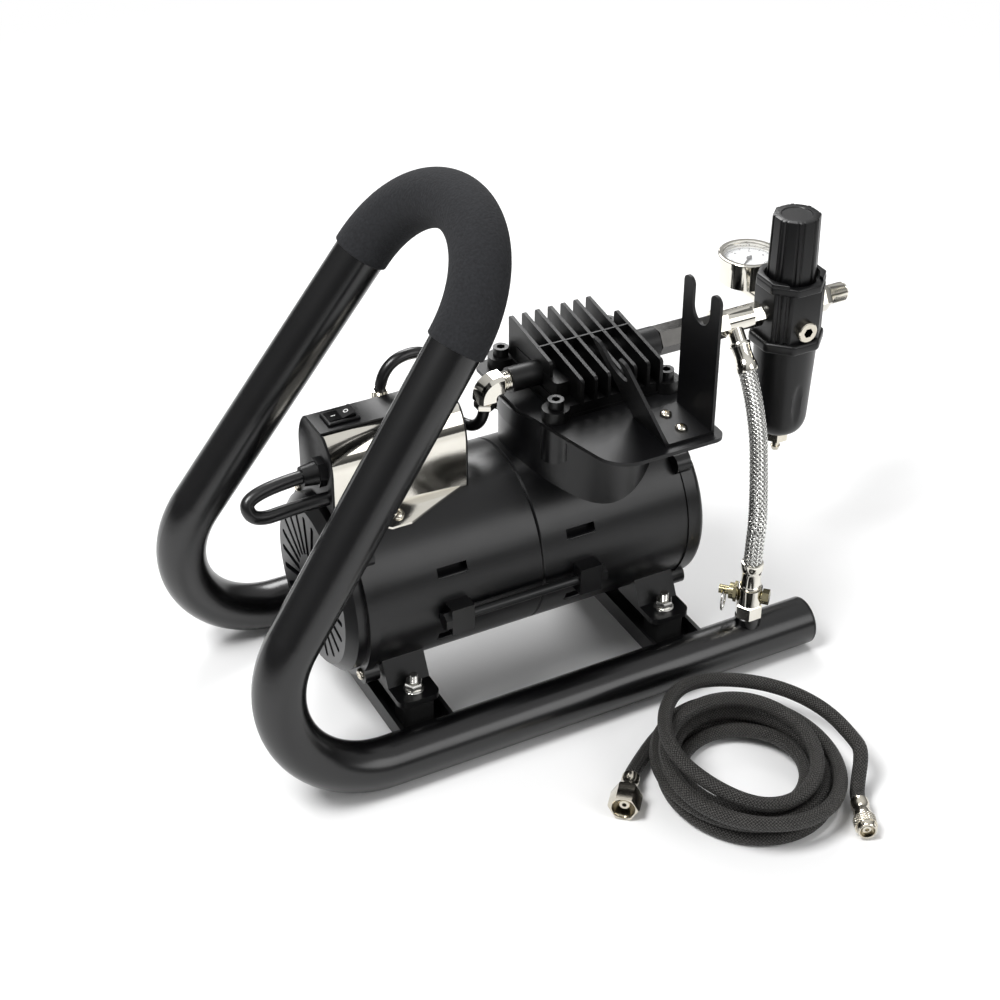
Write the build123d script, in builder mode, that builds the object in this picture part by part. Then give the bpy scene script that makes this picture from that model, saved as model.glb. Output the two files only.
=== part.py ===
import os
from math import acos, atan2, cos, radians, sin, sqrt, tan

from build123d import *

os.makedirs("parts", exist_ok=True)

# Tank tube: two floor rails, two leaning legs and the handle bend, bent from one length. Sizes in millimetres.
tube_d = 31.8
tube_wall = 1.6
rail_gap = 179.6
rail_end_x = 155.0
frame_left_x = -230.0
bend_r = 65.0
leg_lean = 54.1
leg_taper = 4.56
top_bend_r = 64.25
cap_rim = 2.5
cap_plug = 8.0
fit_gap = 0.05
grip_wall = 1.6
grip_straight = 3.0

# Tank boss on the front rail, with the fitting, safety valve and hose nut above it.
boss_x = 109.0
boss_d = 17.0
boss_height = 5.0
boss_bore = 8.0
fitting_hex = 16.0
fitting_hex_height = 10.0
fitting_d = 16.0
fitting_height = 12.0
valve_turn = 135.0
valve_d = 11.0
valve_length = 5.0
valve_hex = 12.0
valve_hex_l = 2.0
valve_face_gap = 0.3
spigot_d = 6.6
spigot_l = 5.8
stem_d = 4.0
stem_out = 3.6
stem_depth = 7.0
stem_spare = 1.0
running_gap = 0.05
ring_r = 7.5
ring_wire = 1.4
ring_hole = 3.2
plug_d = 9.0
plug_length = 4.5

# Mounting of the compressor on the rails.
bracket_left_x = -120.0
bracket_right_x = 60.0
bracket_w = 36.0
bracket_h = 12.0
bracket_wall = 2.5
bracket_top_z = 30.0
stud_y = 64.0
stud_d = 6.0
stud_length = 35.5
stud_gap = 0.2
hex_head = 10.0
hex_head_height = 4.0
bush_w = 20.0
bush_round = 4.0
bush_h = 17.5
bush_edge = 1.2
foot_w = 28.0
foot_round = 6.0
rib_in = 4.0
pad_h = 4.0
pad_reach = 11.0
nut_h = 5.0
nut_flange_d = 13.0
nut_flange_h = 1.5

# Motor drum and crankcase.
drum_clear = 3.0
drum_d = 120.0
shell_left_x = -140.0
seam_x = -27.0
crankcase_right_x = 78.0
fan_pocket_wall = 5.5
fan_pocket = 14.0
lug_left_x = -88.0
lug_right_x = 1.0
lug_size = 15.0
lug_reach = 13.0
tie_drop = 5.0
lug_sink = 3.0
tie_d = 6.0
tie_gap = 0.1
tie_out = 5.5
vent_l = 20.0
vent_w = 5.0
vent_depth = 3.0
vent_drop = 24.0
cover_lug_d = 13.0
cover_lug_out = 2.0
cover_lug_l = 4.0
flange_t = 6.0
fan_cover_l = 18.0
fan_cover_wall = 2.5
fan_cover_rim = 2.0
fan_cover_step = 3.0
fan_cover_bevel = 6.0
louvre_count = 22
louvre_l = 28.0
louvre_w = 4.0
louvre_ring = 66.0
end_cover_l = 12.0
shaft_d = 8.0
shaft_depth = 24.0
fan_tip_gap = 5.5
fan_l = 14.0
fan_hub_d = 22.0
fan_blades = 9
fan_blade_t = 2.0
fan_disc_t = 2.0
fan_gap = 4.0

# Pan-head screws, shared by the covers, the airbrush holder and the switch box.
screw_d = 4.0
screw_l = 9.0
screw_head_d = 7.6
screw_head_h = 2.6

# Cylinder neck, plates and finned head.
neck_x = 28.0
neck_d = 100.0
neck_band = 12.0
neck_band_out = 1.5
plate_rise = 35.0
plate_t = 2.5
plate_front_y = -98.0
plate_left_x = -21.0
plate_right_x = 76.0
plate_rear_y = 50.0
valve_plate_t = 2.0
head_x = 33.0
head_y = 3.0
bolt_dx = 39.0
bolt_dy = 36.0
bolt_d = 6.0
bolt_head_d = 10.0
bolt_head_h = 6.0
bolt_socket = 5.0
bolt_depth = 22.0
lug_r = 8.5
head_base_w = 70.0
head_base_l = 78.0
head_base_t = 6.0
core_w = 68.0
core_l = 54.0
core_t = 10.0
fin_count = 8
fin_pitch = 9.25
fin_t = 2.2
fin_front = 41.0
fin_rear = 36.0
fin_front_rise = 24.6
fin_rear_rise = 35.6
fin_short_front = 18.0
fin_short_rear = 16.0
rib_t = 1.2
line_rise = 14.0
left_boss_d = 16.0
left_boss_l = 20.0
right_boss_d = 20.0
right_boss_l = 16.0
port_bore = 9.6
port_depth = 14.0

# Airbrush holder, folded from one sheet.
holder_t = 2.0
holder_left_x = 37.0
holder_right_x = 70.0
holder_front_y = -92.0
holder_w = 39.0
fork_right_h = 91.0
fork_left_h = 72.0
fork_left_lean = 26.0
prong_w = 10.0
notch_depth = 25.0
holder_screw_x = 54.0

# Switch box.
box_left_x = -149.0
box_right_x = -60.0
box_y = 4.0
box_w = 50.0
box_side_rise = 31.0
box_top_rise = 49.0
box_top_w = 26.0
box_sheet = 1.2
box_round = 9.0
tab_reach = 13.0
tab_x = -110.5
tab_tip_w = 13.0
end_plate_t = 4.0
strip_w = 23.0
strip_t = 2.5
switch_x = -131.5
bezel_l = 21.0
bezel_w = 15.0
bezel_t = 2.0
switch_body_l = 18.8
switch_body_w = 12.8
switch_body_h = 15.0
rocker_l = 16.6
rocker_w = 10.2
rocker_gap = 0.45
rocker_tilt = 8.0
gland_in = 13.0
gland_rise = 26.0
gland_d = 16.0
gland_l = 14.0
lead_d = 8.0
lead_in = 7.0
lead_rise = 10.0
lead_loop = 50.0
lead_return = 20.0
lead_sag = 2.0

# Air line from the head to the regulator.
valve_hex_w = 17.0
check_l = 44.0
tee_hex = 17.0
tee_hex_l = 8.0
tee_d = 16.0
branch_d = 11.0
branch_l = 15.0
branch_tilt = 40.0
elbow_d = 13.0
elbow_reach = 16.0
hose_drop = 32.0
hose_over = 20.0
hose_swing = 19.0
hose_back = 27.0
fitting_in = 37.0
fitting_back = 7.0
fitting_l = 22.0
hose_d = 7.0
tank_hose_d = 12.0
ferrule_d = 14.5
ferrule_l = 20.0
tank_hose_in = 42.0
tank_hose_rise = 55.0
tank_hose_foot = 28.0

# Filter regulator.
reg_x = 186.0
reg_w = 40.0
reg_drop = 30.0
reg_body_h = 40.0
reg_chamfer = 9.0
collar_w = 43.0
collar_h = 9.0
collar_tooth = 5.0
collar_bore_d = 36.4
collar_tab_gap = 26.0
bonnet_d = 24.0
bonnet_h = 40.0
knob_w = 31.0
knob_h = 46.0
knob_gap = 0.4
knob_lift = 1.0
knob_groove = 1.6
knob_recess_d = 20.0
knob_recess = 0.8
spindle_d = 8.0
spindle_h = 9.0
spindle_depth = 10.0
spindle_base_d = 14.0
spindle_base_t = 2.0
rib_groove_w = 2.0
rib_groove_d = 1.2
rib_groove_y = 2.6
bore_extra = 2.0
bowl_ring_d = 47.0
bowl_ring_h = 14.0
bowl_top_d = 42.0
bowl_bottom_d = 32.0
bowl_h = 66.0
bowl_wall = 2.4
bowl_window_w = 5.0
bowl_window_h = 26.0
bowl_window_depth = 1.2
bowl_foot = 6.0
bowl_windows = 8
drain_spigot_d = 10.0
drain_flange_d = 8.0
drain_flange_t = 1.2
barb_out = 0.9
barb_h = 3.0
drain_hex = 14.0
drain_h = 6.0
drain_stem_d = 5.0
drain_stem_out = 9.0
gauge_port_drop = 9.0
plug_flange_d = 14.0
plug_flange_t = 4.0
plug_socket = 6.0
gauge_y = 48.0
gauge_d = 40.0
gauge_h = 19.0
gauge_wall = 1.6
gauge_lip = 1.0
gauge_lip_h = 5.0
gauge_ledge = 0.6
needle_hub_d = 3.6
needle_hub_h = 1.0
needle_tail = 4.0
needle_root_w = 1.8
needle_tip_w = 0.7
needle_turn = 218.0
gauge_rise = 17.0
dial_drop = 5.0
dial_t = 0.8
needle_gap = 0.4
needle_t = 0.5
needle_l = 13.0
pin_d = 1.6
lens_t = 1.2
lens_drop = 1.0
gauge_stem_d = 10.0
gauge_stem_hex = 13.0
gauge_stem_hex_l = 6.0
nipple_hex = 17.0
nipple_hex_l = 9.0
nipple_thread_d = 13.16
nipple_end_x = 230.0
nipple_bore = 6.0

# Loose air hose: two flat layers, then a third that crosses inwards, winds out again and steps over its crossing.
coil_x = 41.0
coil_y = -190.0
coil_stretch = 1.12
air_hose_d = 9.0
coil_outer_r = 57.0
coil_inner_r = 34.5
coil_top_r = 39.0
coil_exit_r = 68.5
coil_layer_turns = 2.25
coil_top_turns = 1.933
coil_cross_at = 0.25
coil_cross_turns = 0.4
coil_pitch = 10.5
coil_exit_at = 1.5
coil_hump = (1.15, 1.75)
coil_lift = 9.8
coil_lean = 6.0
coil_rise = 0.5
coil_start = 140.0
coil_nut_hex = 17.0
coil_nut_l = 15.0
small_nut_d = 14.0
small_nut_l = 12.0
coil_ferrule_d = 11.0
coil_ferrule_l = 14.0
hose_end_left = (-31.0, -174.0)
hose_end_turn = 50.0
hose_end_right = (78.0, -267.0)
hose_end_right_turn = 245.0

# Derived places.
tube_r = tube_d / 2
rail_y = rail_gap / 2
drum_r = drum_d / 2
neck_r = neck_d / 2
axis_z = bracket_top_z + drum_clear + drum_r
drum_top_z = axis_z + drum_r
pocket_r = drum_r - fan_pocket_wall
fan_r = pocket_r - fan_tip_gap
cover_lug_r = drum_r + cover_lug_out
tie_z = axis_z - tie_drop
plate_top_z = drum_top_z + plate_rise
fin_front_z = plate_top_z + fin_front_rise
fin_rear_z = plate_top_z + fin_rear_rise
line_z = plate_top_z + line_rise
box_side_z = drum_top_z + box_side_rise
box_top_z = drum_top_z + box_top_rise
gland_z = drum_top_z + gland_rise
lead_in_z = drum_top_z + lead_rise
reg_body_z = line_z - reg_drop
gauge_port_z = line_z - gauge_port_drop
gauge_face_z = line_z + gauge_rise
bush_z = bracket_top_z - bracket_h + bracket_wall
true_lean = acos(cos(radians(leg_lean)) * cos(radians(leg_taper)))
vertex_x = frame_left_x + tube_r + bend_r - bend_r / tan(true_lean / 2)
leg_plane = rail_y / tan(radians(leg_taper))
leg_length = rail_y / sin(radians(leg_taper))
apex = Vector(
    vertex_x + leg_plane * cos(radians(leg_lean)),
    0,
    tube_r + leg_plane * sin(radians(leg_lean)),
)
front_foot = Vector(vertex_x, -rail_y, tube_r)
rear_foot = Vector(vertex_x, rail_y, tube_r)
front_end = Vector(rail_end_x - cap_rim, -rail_y, tube_r)
rear_end = Vector(rail_end_x - cap_rim, rail_y, tube_r)
boss_top_z = tube_d + boss_height
fitting_z = boss_top_z + fitting_hex_height
ferrule_z = fitting_z + fitting_height
foot_z = bush_z + bush_h
foot_top_z = foot_z + pad_h
bracket_xs = (bracket_left_x, bracket_right_x)
stud_spots = [(x, y) for x in bracket_xs for y in (-stud_y, stud_y)]
plate_z = plate_top_z - plate_t
base_z = plate_top_z + valve_plate_t
base_top_z = base_z + head_base_t
core_top_z = base_top_z + core_t
bolt_spots = [(head_x + i * bolt_dx, head_y + j * bolt_dy) for i in (-1, 1) for j in (-1, 1)]
fin_x0 = head_x - fin_pitch * (fin_count - 1) / 2
head_left_x = head_x - core_w / 2
head_right_x = head_x + core_w / 2
left_port_x = head_left_x - left_boss_l
right_port_x = head_right_x + right_boss_l
tee_left_x = right_port_x + check_l
tee_right_x = reg_x - reg_w / 2
strip_top_z = box_top_z + strip_t
collar_z = reg_body_z + reg_body_h
knob_z = collar_z + collar_h + knob_lift
bonnet_top_z = collar_z + bonnet_h
bowl_ring_z = reg_body_z - bowl_ring_h
bowl_z = reg_body_z - bowl_h
gauge_z = gauge_face_z - gauge_h
drum_plane = Plane(origin=(0, 0, axis_z), x_dir=(0, 1, 0), z_dir=(1, 0, 0))
screw_r = screw_d / 2
box_sides = (box_y - box_w / 2, box_y + box_w / 2)
gland_y = box_sides[0] + gland_in
lead_in_y = box_sides[0] + lead_in
tie_y = drum_r + tie_out
tab_ys = (box_sides[0] - tab_reach / 2, box_sides[1] + tab_reach / 2)
tab_rises = [sqrt(drum_r**2 - y**2) for y in tab_ys]
tab_planes = [
    Plane(origin=(tab_x, y, axis_z + rise), x_dir=(1, 0, 0), z_dir=(0, y, rise)) for y, rise in zip(tab_ys, tab_rises)
]
holder_screw_ys = [holder_front_y + holder_w * k for k in (0.3, 0.75)]


def across(hexagon):
    # Corner radius of a hexagon of the given width across its flats.
    return hexagon / sqrt(3)


def octagon(width):
    # Corner radius of an octagon of the given width across its flats.
    return width / 2 / cos(radians(22.5))


def bends(points):
    # One radius for each inner point, using most of the shorter run beside it.
    radii = []
    for before, corner, after in zip(points, points[1:], points[2:]):
        run_in = corner - before
        run_out = after - corner
        half_turn = radians(run_in.get_angle(run_out)) / 2
        radii.append(0.45 * min(run_in.length, run_out.length) / tan(half_turn))
    print("bend radii", [round(radius, 1) for radius in radii])
    return radii


def biarc_knot(start, start_way, end, end_way):
    # Middle point, and direction there, of the two tangent arcs between two directed points.
    span = end - start
    ways = start_way + end_way
    a = 2 * (1 - start_way.dot(end_way))
    b = 2 * span.dot(ways)
    c = -span.dot(span)
    reach = -c / b if abs(a) < 1e-9 else (-b + sqrt(b * b - 4 * a * c)) / (2 * a)
    one = start + start_way * reach
    two = end - end_way * reach
    return (one + two) * 0.5, (two - one).normalized()


with BuildPart() as tank_tube:
    with BuildLine():
        FilletPolyline(
            front_end, front_foot, apex, rear_foot, rear_end, radius=[bend_r, top_bend_r, bend_r]
        )
    with BuildSketch(Plane(origin=front_end, z_dir=(-1, 0, 0))):
        Circle(tube_r)
        Circle(tube_r - tube_wall, mode=Mode.SUBTRACT)
    sweep()
    with Locations((boss_x, -rail_y, tube_r)):
        Cylinder(boss_bore / 2, tube_d, align=(Align.CENTER, Align.CENTER, Align.MIN), mode=Mode.SUBTRACT)
tank_tube.part.label = "tank_tube"
export_step(tank_tube.part, "parts/tank_tube.step")

with BuildPart() as tank_caps:
    with BuildSketch(Plane(origin=front_end, z_dir=(1, 0, 0))):
        Circle(tube_r)
    extrude(amount=cap_rim)
    fillet(tank_caps.edges().group_by(Axis.X)[-1], radius=cap_rim * 0.7)
    with BuildSketch(Plane(origin=front_end, z_dir=(-1, 0, 0))):
        Circle(tube_r - tube_wall - fit_gap)
    extrude(amount=cap_plug)
    mirror(about=Plane.XZ)
tank_caps.part.label = "tank_caps"
export_step(tank_caps.part, "parts/tank_caps.step")

with BuildPart() as tank_boss:
    with Locations((boss_x, -rail_y, tube_r)):
        Cylinder(boss_d / 2, boss_top_z - tube_r, align=(Align.CENTER, Align.CENTER, Align.MIN))
        Cylinder(tube_r, boss_d * 2, rotation=(0, 90, 0), mode=Mode.SUBTRACT)
        Cylinder(boss_bore / 2, tube_d * 2, mode=Mode.SUBTRACT)
    chamfer(tank_boss.edges().group_by(Axis.Z)[-1], length=0.6)
tank_boss.part.label = "tank_boss"
export_step(tank_boss.part, "parts/tank_boss.step")

with BuildPart() as handle_grip:
    grip_reach = top_bend_r / tan(radians(leg_taper)) + grip_straight
    front_way = (front_foot - apex).normalized()
    rear_way = (rear_foot - apex).normalized()
    with BuildLine():
        FilletPolyline(
            apex + front_way * grip_reach, apex, apex + rear_way * grip_reach, radius=[top_bend_r]
        )
    with BuildSketch(Plane(origin=apex + front_way * grip_reach, z_dir=-front_way)):
        Circle(tube_r + fit_gap + grip_wall)
        Circle(tube_r + fit_gap, mode=Mode.SUBTRACT)
    sweep()
handle_grip.part.label = "handle_grip"
export_step(handle_grip.part, "parts/handle_grip.step")

with BuildPart() as cross_brackets:
    for x in bracket_xs:
        with BuildSketch(Plane(origin=(x, -rail_y, bush_z - bracket_wall), x_dir=(-1, 0, 0), z_dir=(0, 1, 0))):
            Rectangle(bracket_w, bracket_h, align=(Align.CENTER, Align.MIN))
            with Locations((0, bracket_wall)):
                Rectangle(
                    bracket_w - 2 * bracket_wall, bracket_h, align=(Align.CENTER, Align.MIN), mode=Mode.SUBTRACT
                )
        extrude(amount=rail_gap)
    with Locations((0, -rail_y, tube_r), (0, rail_y, tube_r)):
        Cylinder(tube_r, rail_gap * 4, rotation=(0, 90, 0), mode=Mode.SUBTRACT)
    with Locations(*[(x, y, bush_z) for x, y in stud_spots]):
        Cylinder(stud_d / 2 + stud_gap, bracket_wall * 4, mode=Mode.SUBTRACT)
cross_brackets.part.label = "cross_brackets"
export_step(cross_brackets.part, "parts/cross_brackets.step")

with BuildPart() as mount_bushes:
    with BuildSketch(Plane.XY.offset(bush_z)):
        with Locations(*stud_spots):
            RectangleRounded(bush_w, bush_w, bush_round)
    extrude(amount=bush_h)
    chamfer(mount_bushes.edges().group_by(Axis.Z)[-1], length=bush_edge)
    with Locations(*[(x, y, bush_z) for x, y in stud_spots]):
        Cylinder(stud_d / 2 + stud_gap, bush_h * 3, mode=Mode.SUBTRACT)
mount_bushes.part.label = "mount_bushes"
export_step(mount_bushes.part, "parts/mount_bushes.step")

with BuildPart() as mount_studs:
    stud_z = bush_z - bracket_wall
    with Locations(*[(x, y, stud_z) for x, y in stud_spots]):
        Cylinder(stud_d / 2, stud_length, align=(Align.CENTER, Align.CENTER, Align.MIN))
    with BuildSketch(Plane.XY.offset(stud_z)):
        with Locations(*stud_spots):
            RegularPolygon(across(hex_head), 6)
    extrude(amount=-hex_head_height)
mount_studs.part.label = "mount_studs"
export_step(mount_studs.part, "parts/mount_studs.step")

with BuildPart() as mount_nuts:
    with Locations(*[(x, y, foot_top_z) for x, y in stud_spots]):
        Cylinder(nut_flange_d / 2, nut_flange_h, align=(Align.CENTER, Align.CENTER, Align.MIN))
    with BuildSketch(Plane.XY.offset(foot_top_z + nut_flange_h)):
        with Locations(*stud_spots):
            RegularPolygon(across(hex_head), 6)
    extrude(amount=nut_h)
    with Locations(*[(x, y, foot_top_z) for x, y in stud_spots]):
        Cylinder(stud_d / 2 + fit_gap, nut_h * 6, mode=Mode.SUBTRACT)
mount_nuts.part.label = "mount_nuts"
export_step(mount_nuts.part, "parts/mount_nuts.step")

with BuildPart() as motor_feet:
    pad_end = -(stud_y + pad_reach)
    rib_top = axis_z - drum_r * 0.48
    inner_y = -drum_r * 0.5
    for x in bracket_xs:
        with BuildSketch(Plane(origin=(x - foot_w / 2, 0, 0), x_dir=(0, 1, 0), z_dir=(1, 0, 0))):
            Polygon(
                (pad_end, foot_z),
                (inner_y, foot_z),
                (inner_y, axis_z - drum_r * 0.7),
                (-drum_r * 0.76, rib_top),
                (pad_end + 2 * pad_reach - rib_in, foot_top_z),
                (pad_end, foot_top_z),
                align=None,
            )
            with Locations((0, axis_z)):
                Circle(drum_r, mode=Mode.SUBTRACT)
        extrude(amount=foot_w)
    fillet(motor_feet.edges().filter_by(Axis.Z).group_by(Axis.Y)[0], radius=foot_round)
    with Locations(*[(x, -stud_y, foot_z) for x in bracket_xs]):
        Cylinder(stud_d / 2 + stud_gap, pad_h * 4, mode=Mode.SUBTRACT)
    mirror(about=Plane.XZ)
motor_feet.part.label = "motor_feet"
export_step(motor_feet.part, "parts/motor_feet.step")

with BuildPart() as motor_shell:
    with BuildSketch(drum_plane.offset(shell_left_x)):
        Circle(drum_r)
    extrude(amount=seam_x - shell_left_x)
    with BuildSketch(drum_plane.offset(shell_left_x)):
        with PolarLocations(cover_lug_r, 4, start_angle=45):
            Circle(cover_lug_d / 2)
    extrude(amount=cover_lug_l)
    with Locations(*[(lug_left_x, s * (drum_r + lug_reach / 2 - lug_sink), tie_z) for s in (-1, 1)]):
        Box(lug_size, lug_reach, lug_size * 1.25)
    chamfer(motor_shell.faces().sort_by(Axis.X)[-1].edges(), length=1.0)
    with BuildSketch(drum_plane.offset(shell_left_x)):
        Circle(pocket_r)
    extrude(amount=fan_pocket, mode=Mode.SUBTRACT)
    with Locations(*[(0, s * tie_y, tie_z) for s in (-1, 1)]):
        Cylinder(tie_d / 2 + tie_gap, drum_d * 4, rotation=(0, 90, 0), mode=Mode.SUBTRACT)
    vent_y = sqrt(drum_r**2 - vent_drop**2) - vent_depth / 2
    with Locations(
        *[(lug_left_x, s * vent_y, axis_z + t * vent_drop) for s in (-1, 1) for t in (-1, 1)]
    ):
        Box(vent_l, vent_depth * 2.5, vent_w, mode=Mode.SUBTRACT)
    with BuildSketch(drum_plane.offset(shell_left_x)):
        with PolarLocations(cover_lug_r, 4, start_angle=45):
            Circle(screw_r + fit_gap)
    extrude(amount=cover_lug_l - 1, mode=Mode.SUBTRACT)
    with BuildSketch(drum_plane.offset(shell_left_x + fan_pocket)):
        Circle(shaft_d / 2 + running_gap)
    extrude(amount=shaft_depth, mode=Mode.SUBTRACT)
    with Locations(*tab_planes):
        Cylinder(screw_r + fit_gap, screw_l * 2, mode=Mode.SUBTRACT)
motor_shell.part.label = "motor_shell"
export_step(motor_shell.part, "parts/motor_shell.step")

with BuildPart() as crankcase:
    with BuildSketch(drum_plane.offset(seam_x)):
        Circle(drum_r)
    extrude(amount=crankcase_right_x - seam_x)
    chamfer(crankcase.faces().sort_by(Axis.X)[0].edges(), length=1.0)
    with BuildSketch(drum_plane.offset(crankcase_right_x)):
        with PolarLocations(cover_lug_r, 4, start_angle=45):
            Circle(cover_lug_d / 2)
    extrude(amount=-cover_lug_l)
    with Locations((neck_x, 0, axis_z)):
        Cylinder(neck_r, plate_z - axis_z, align=(Align.CENTER, Align.CENTER, Align.MIN))
    with Locations((neck_x, 0, plate_z)):
        Cylinder(neck_r + neck_band_out, neck_band, align=(Align.CENTER, Align.CENTER, Align.MAX))
    with Locations(*[(x, y, plate_z) for x, y in bolt_spots]):
        Cylinder(lug_r, bolt_depth + 3, align=(Align.CENTER, Align.CENTER, Align.MAX))
    with Locations(*[(lug_right_x, s * (drum_r + lug_reach / 2 - lug_sink), tie_z) for s in (-1, 1)]):
        Box(lug_size, lug_reach, lug_size * 1.25)
    with Locations(*[(0, s * tie_y, tie_z) for s in (-1, 1)]):
        Cylinder(tie_d / 2 + tie_gap, drum_d * 4, rotation=(0, 90, 0), mode=Mode.SUBTRACT)
    with Locations(*[(lug_right_x, s * vent_y, axis_z + t * vent_drop) for s in (-1, 1) for t in (-1, 1)]):
        Box(vent_l, vent_depth * 2.5, vent_w, mode=Mode.SUBTRACT)
    with BuildSketch(drum_plane.offset(crankcase_right_x)):
        with PolarLocations(cover_lug_r, 4, start_angle=45):
            Circle(screw_r + fit_gap)
    extrude(amount=-(cover_lug_l - 1), mode=Mode.SUBTRACT)
    with Locations(*[(x, y, plate_z) for x, y in bolt_spots]):
        Cylinder(
            bolt_d / 2 + fit_gap, bolt_depth, align=(Align.CENTER, Align.CENTER, Align.MAX), mode=Mode.SUBTRACT
        )
crankcase.part.label = "crankcase"
export_step(crankcase.part, "parts/crankcase.step")

with BuildPart() as fan_cover:
    cover_x = shell_left_x - fan_cover_l
    with BuildSketch(Plane(origin=(0, 0, axis_z), x_dir=(1, 0, 0), z_dir=(0, -1, 0))):
        with BuildLine():
            Polyline(
                (shell_left_x, pocket_r),
                (shell_left_x, drum_r + fan_cover_rim),
                (shell_left_x - flange_t, drum_r + fan_cover_rim),
                (shell_left_x - flange_t, pocket_r + fan_cover_step),
                (cover_x + fan_cover_bevel, pocket_r + fan_cover_step),
                (cover_x, pocket_r + fan_cover_step - fan_cover_bevel),
                (cover_x, 0),
                (cover_x + fan_cover_wall, 0),
                (cover_x + fan_cover_wall, pocket_r - fan_cover_bevel),
                (cover_x + fan_cover_wall + fan_cover_bevel, pocket_r),
                close=True,
            )
        make_face()
    revolve(axis=Axis((0, 0, axis_z), (1, 0, 0)))
    with BuildSketch(drum_plane.offset(shell_left_x)):
        with PolarLocations(cover_lug_r, 4, start_angle=45):
            Circle(cover_lug_d / 2)
    extrude(amount=-flange_t)
    with BuildSketch(drum_plane.offset(shell_left_x)):
        with PolarLocations(cover_lug_r, 4, start_angle=45):
            Circle(screw_r + fit_gap)
    extrude(amount=-flange_t, mode=Mode.SUBTRACT)
    with BuildSketch(drum_plane.offset(shell_left_x)):
        Circle(pocket_r)
    extrude(amount=-flange_t, mode=Mode.SUBTRACT)
    with BuildSketch(drum_plane.offset(cover_x)):
        with PolarLocations(louvre_ring / 2, louvre_count):
            SlotOverall(louvre_l, louvre_w)
    extrude(amount=fan_cover_wall, mode=Mode.SUBTRACT)
fan_cover.part.label = "fan_cover"
export_step(fan_cover.part, "parts/fan_cover.step")

with BuildPart() as crankcase_cover:
    with BuildSketch(drum_plane.offset(crankcase_right_x)):
        Circle(drum_r + 1)
    extrude(amount=end_cover_l)
    fillet(crankcase_cover.edges().group_by(Axis.X)[-1], radius=4)
    with BuildSketch(drum_plane.offset(crankcase_right_x + end_cover_l)):
        Circle(drum_r * 0.72)
        Circle(drum_r * 0.3, mode=Mode.SUBTRACT)
    extrude(amount=-2, mode=Mode.SUBTRACT)
    with BuildSketch(drum_plane.offset(crankcase_right_x)):
        with PolarLocations(cover_lug_r, 4, start_angle=45):
            Circle(cover_lug_d / 2)
    extrude(amount=flange_t)
    with BuildSketch(drum_plane.offset(crankcase_right_x)):
        with PolarLocations(cover_lug_r, 4, start_angle=45):
            Circle(screw_r + fit_gap)
    extrude(amount=flange_t, mode=Mode.SUBTRACT)
    with BuildSketch(drum_plane.offset(crankcase_right_x + flange_t)):
        with PolarLocations(cover_lug_r, 4, start_angle=45):
            Circle(screw_head_d / 2 + 0.5)
    extrude(amount=end_cover_l, mode=Mode.SUBTRACT)
crankcase_cover.part.label = "crankcase_cover"
export_step(crankcase_cover.part, "parts/crankcase_cover.step")

with BuildPart() as tie_rods:
    tie_left_x = lug_left_x - lug_size / 2
    tie_right_x = lug_right_x + lug_size / 2
    for s in (-1, 1):
        tie_plane = Plane(origin=(tie_left_x, s * tie_y, tie_z), x_dir=(0, 1, 0), z_dir=(1, 0, 0))
        with BuildSketch(tie_plane):
            Circle(tie_d / 2)
        extrude(amount=tie_right_x - tie_left_x + hex_head_height)
        with BuildSketch(tie_plane):
            RegularPolygon(across(hex_head), 6, rotation=30)
        extrude(amount=-hex_head_height)
        with BuildSketch(tie_plane.offset(tie_right_x - tie_left_x)):
            RegularPolygon(across(hex_head), 6, rotation=30)
        extrude(amount=hex_head_height)
tie_rods.part.label = "tie_rods"
export_step(tie_rods.part, "parts/tie_rods.step")

with BuildPart() as motor_shaft:
    shaft_x = cover_x + fan_cover_wall + fan_gap
    with BuildSketch(drum_plane.offset(shaft_x)):
        Circle(shaft_d / 2)
    extrude(amount=shell_left_x + fan_pocket + shaft_depth - 1 - shaft_x)
motor_shaft.part.label = "motor_shaft"
export_step(motor_shaft.part, "parts/motor_shaft.step")

with BuildPart() as cooling_fan:
    with BuildSketch(drum_plane.offset(shaft_x)):
        Circle(fan_hub_d / 2)
        with PolarLocations(0, fan_blades):
            with Locations((fan_r / 2, 0)):
                Rectangle(fan_r - fan_blade_t, fan_blade_t)
    extrude(amount=fan_l)
    with BuildSketch(drum_plane.offset(shaft_x + fan_l - fan_disc_t)):
        Circle(fan_r)
    extrude(amount=fan_disc_t)
    with BuildSketch(drum_plane.offset(shaft_x)):
        Circle(shaft_d / 2 + fit_gap)
    extrude(amount=fan_l, mode=Mode.SUBTRACT)
cooling_fan.part.label = "cooling_fan"
export_step(cooling_fan.part, "parts/cooling_fan.step")

with BuildPart() as holder_plate:
    with BuildSketch(Plane.XY.offset(plate_z)) as plate_outline:
        Polygon(
            (plate_left_x, plate_rear_y),
            (plate_left_x, -12),
            (0, plate_front_y),
            (plate_right_x, plate_front_y),
            (plate_right_x, head_y - bolt_dy - 12),
            (head_x + bolt_dx + lug_r + 3, head_y - bolt_dy - 2),
            (head_x + bolt_dx + lug_r + 3, plate_rear_y),
            align=None,
        )
        fillet(plate_outline.vertices().group_by(Axis.Y)[0].sort_by(Axis.X)[:1], radius=22)
        fillet(plate_outline.vertices().group_by(Axis.Y)[0].sort_by(Axis.X)[-1:], radius=8)
        fillet(plate_outline.vertices().group_by(Axis.Y)[-1], radius=8)
        with Locations(*bolt_spots):
            Circle(bolt_d / 2 + stud_gap, mode=Mode.SUBTRACT)
    extrude(amount=plate_t)
    with Locations(*[(holder_screw_x, y, plate_top_z) for y in holder_screw_ys]):
        Cylinder(screw_r + fit_gap, plate_t * 4, mode=Mode.SUBTRACT)
holder_plate.part.label = "holder_plate"
export_step(holder_plate.part, "parts/holder_plate.step")

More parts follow.
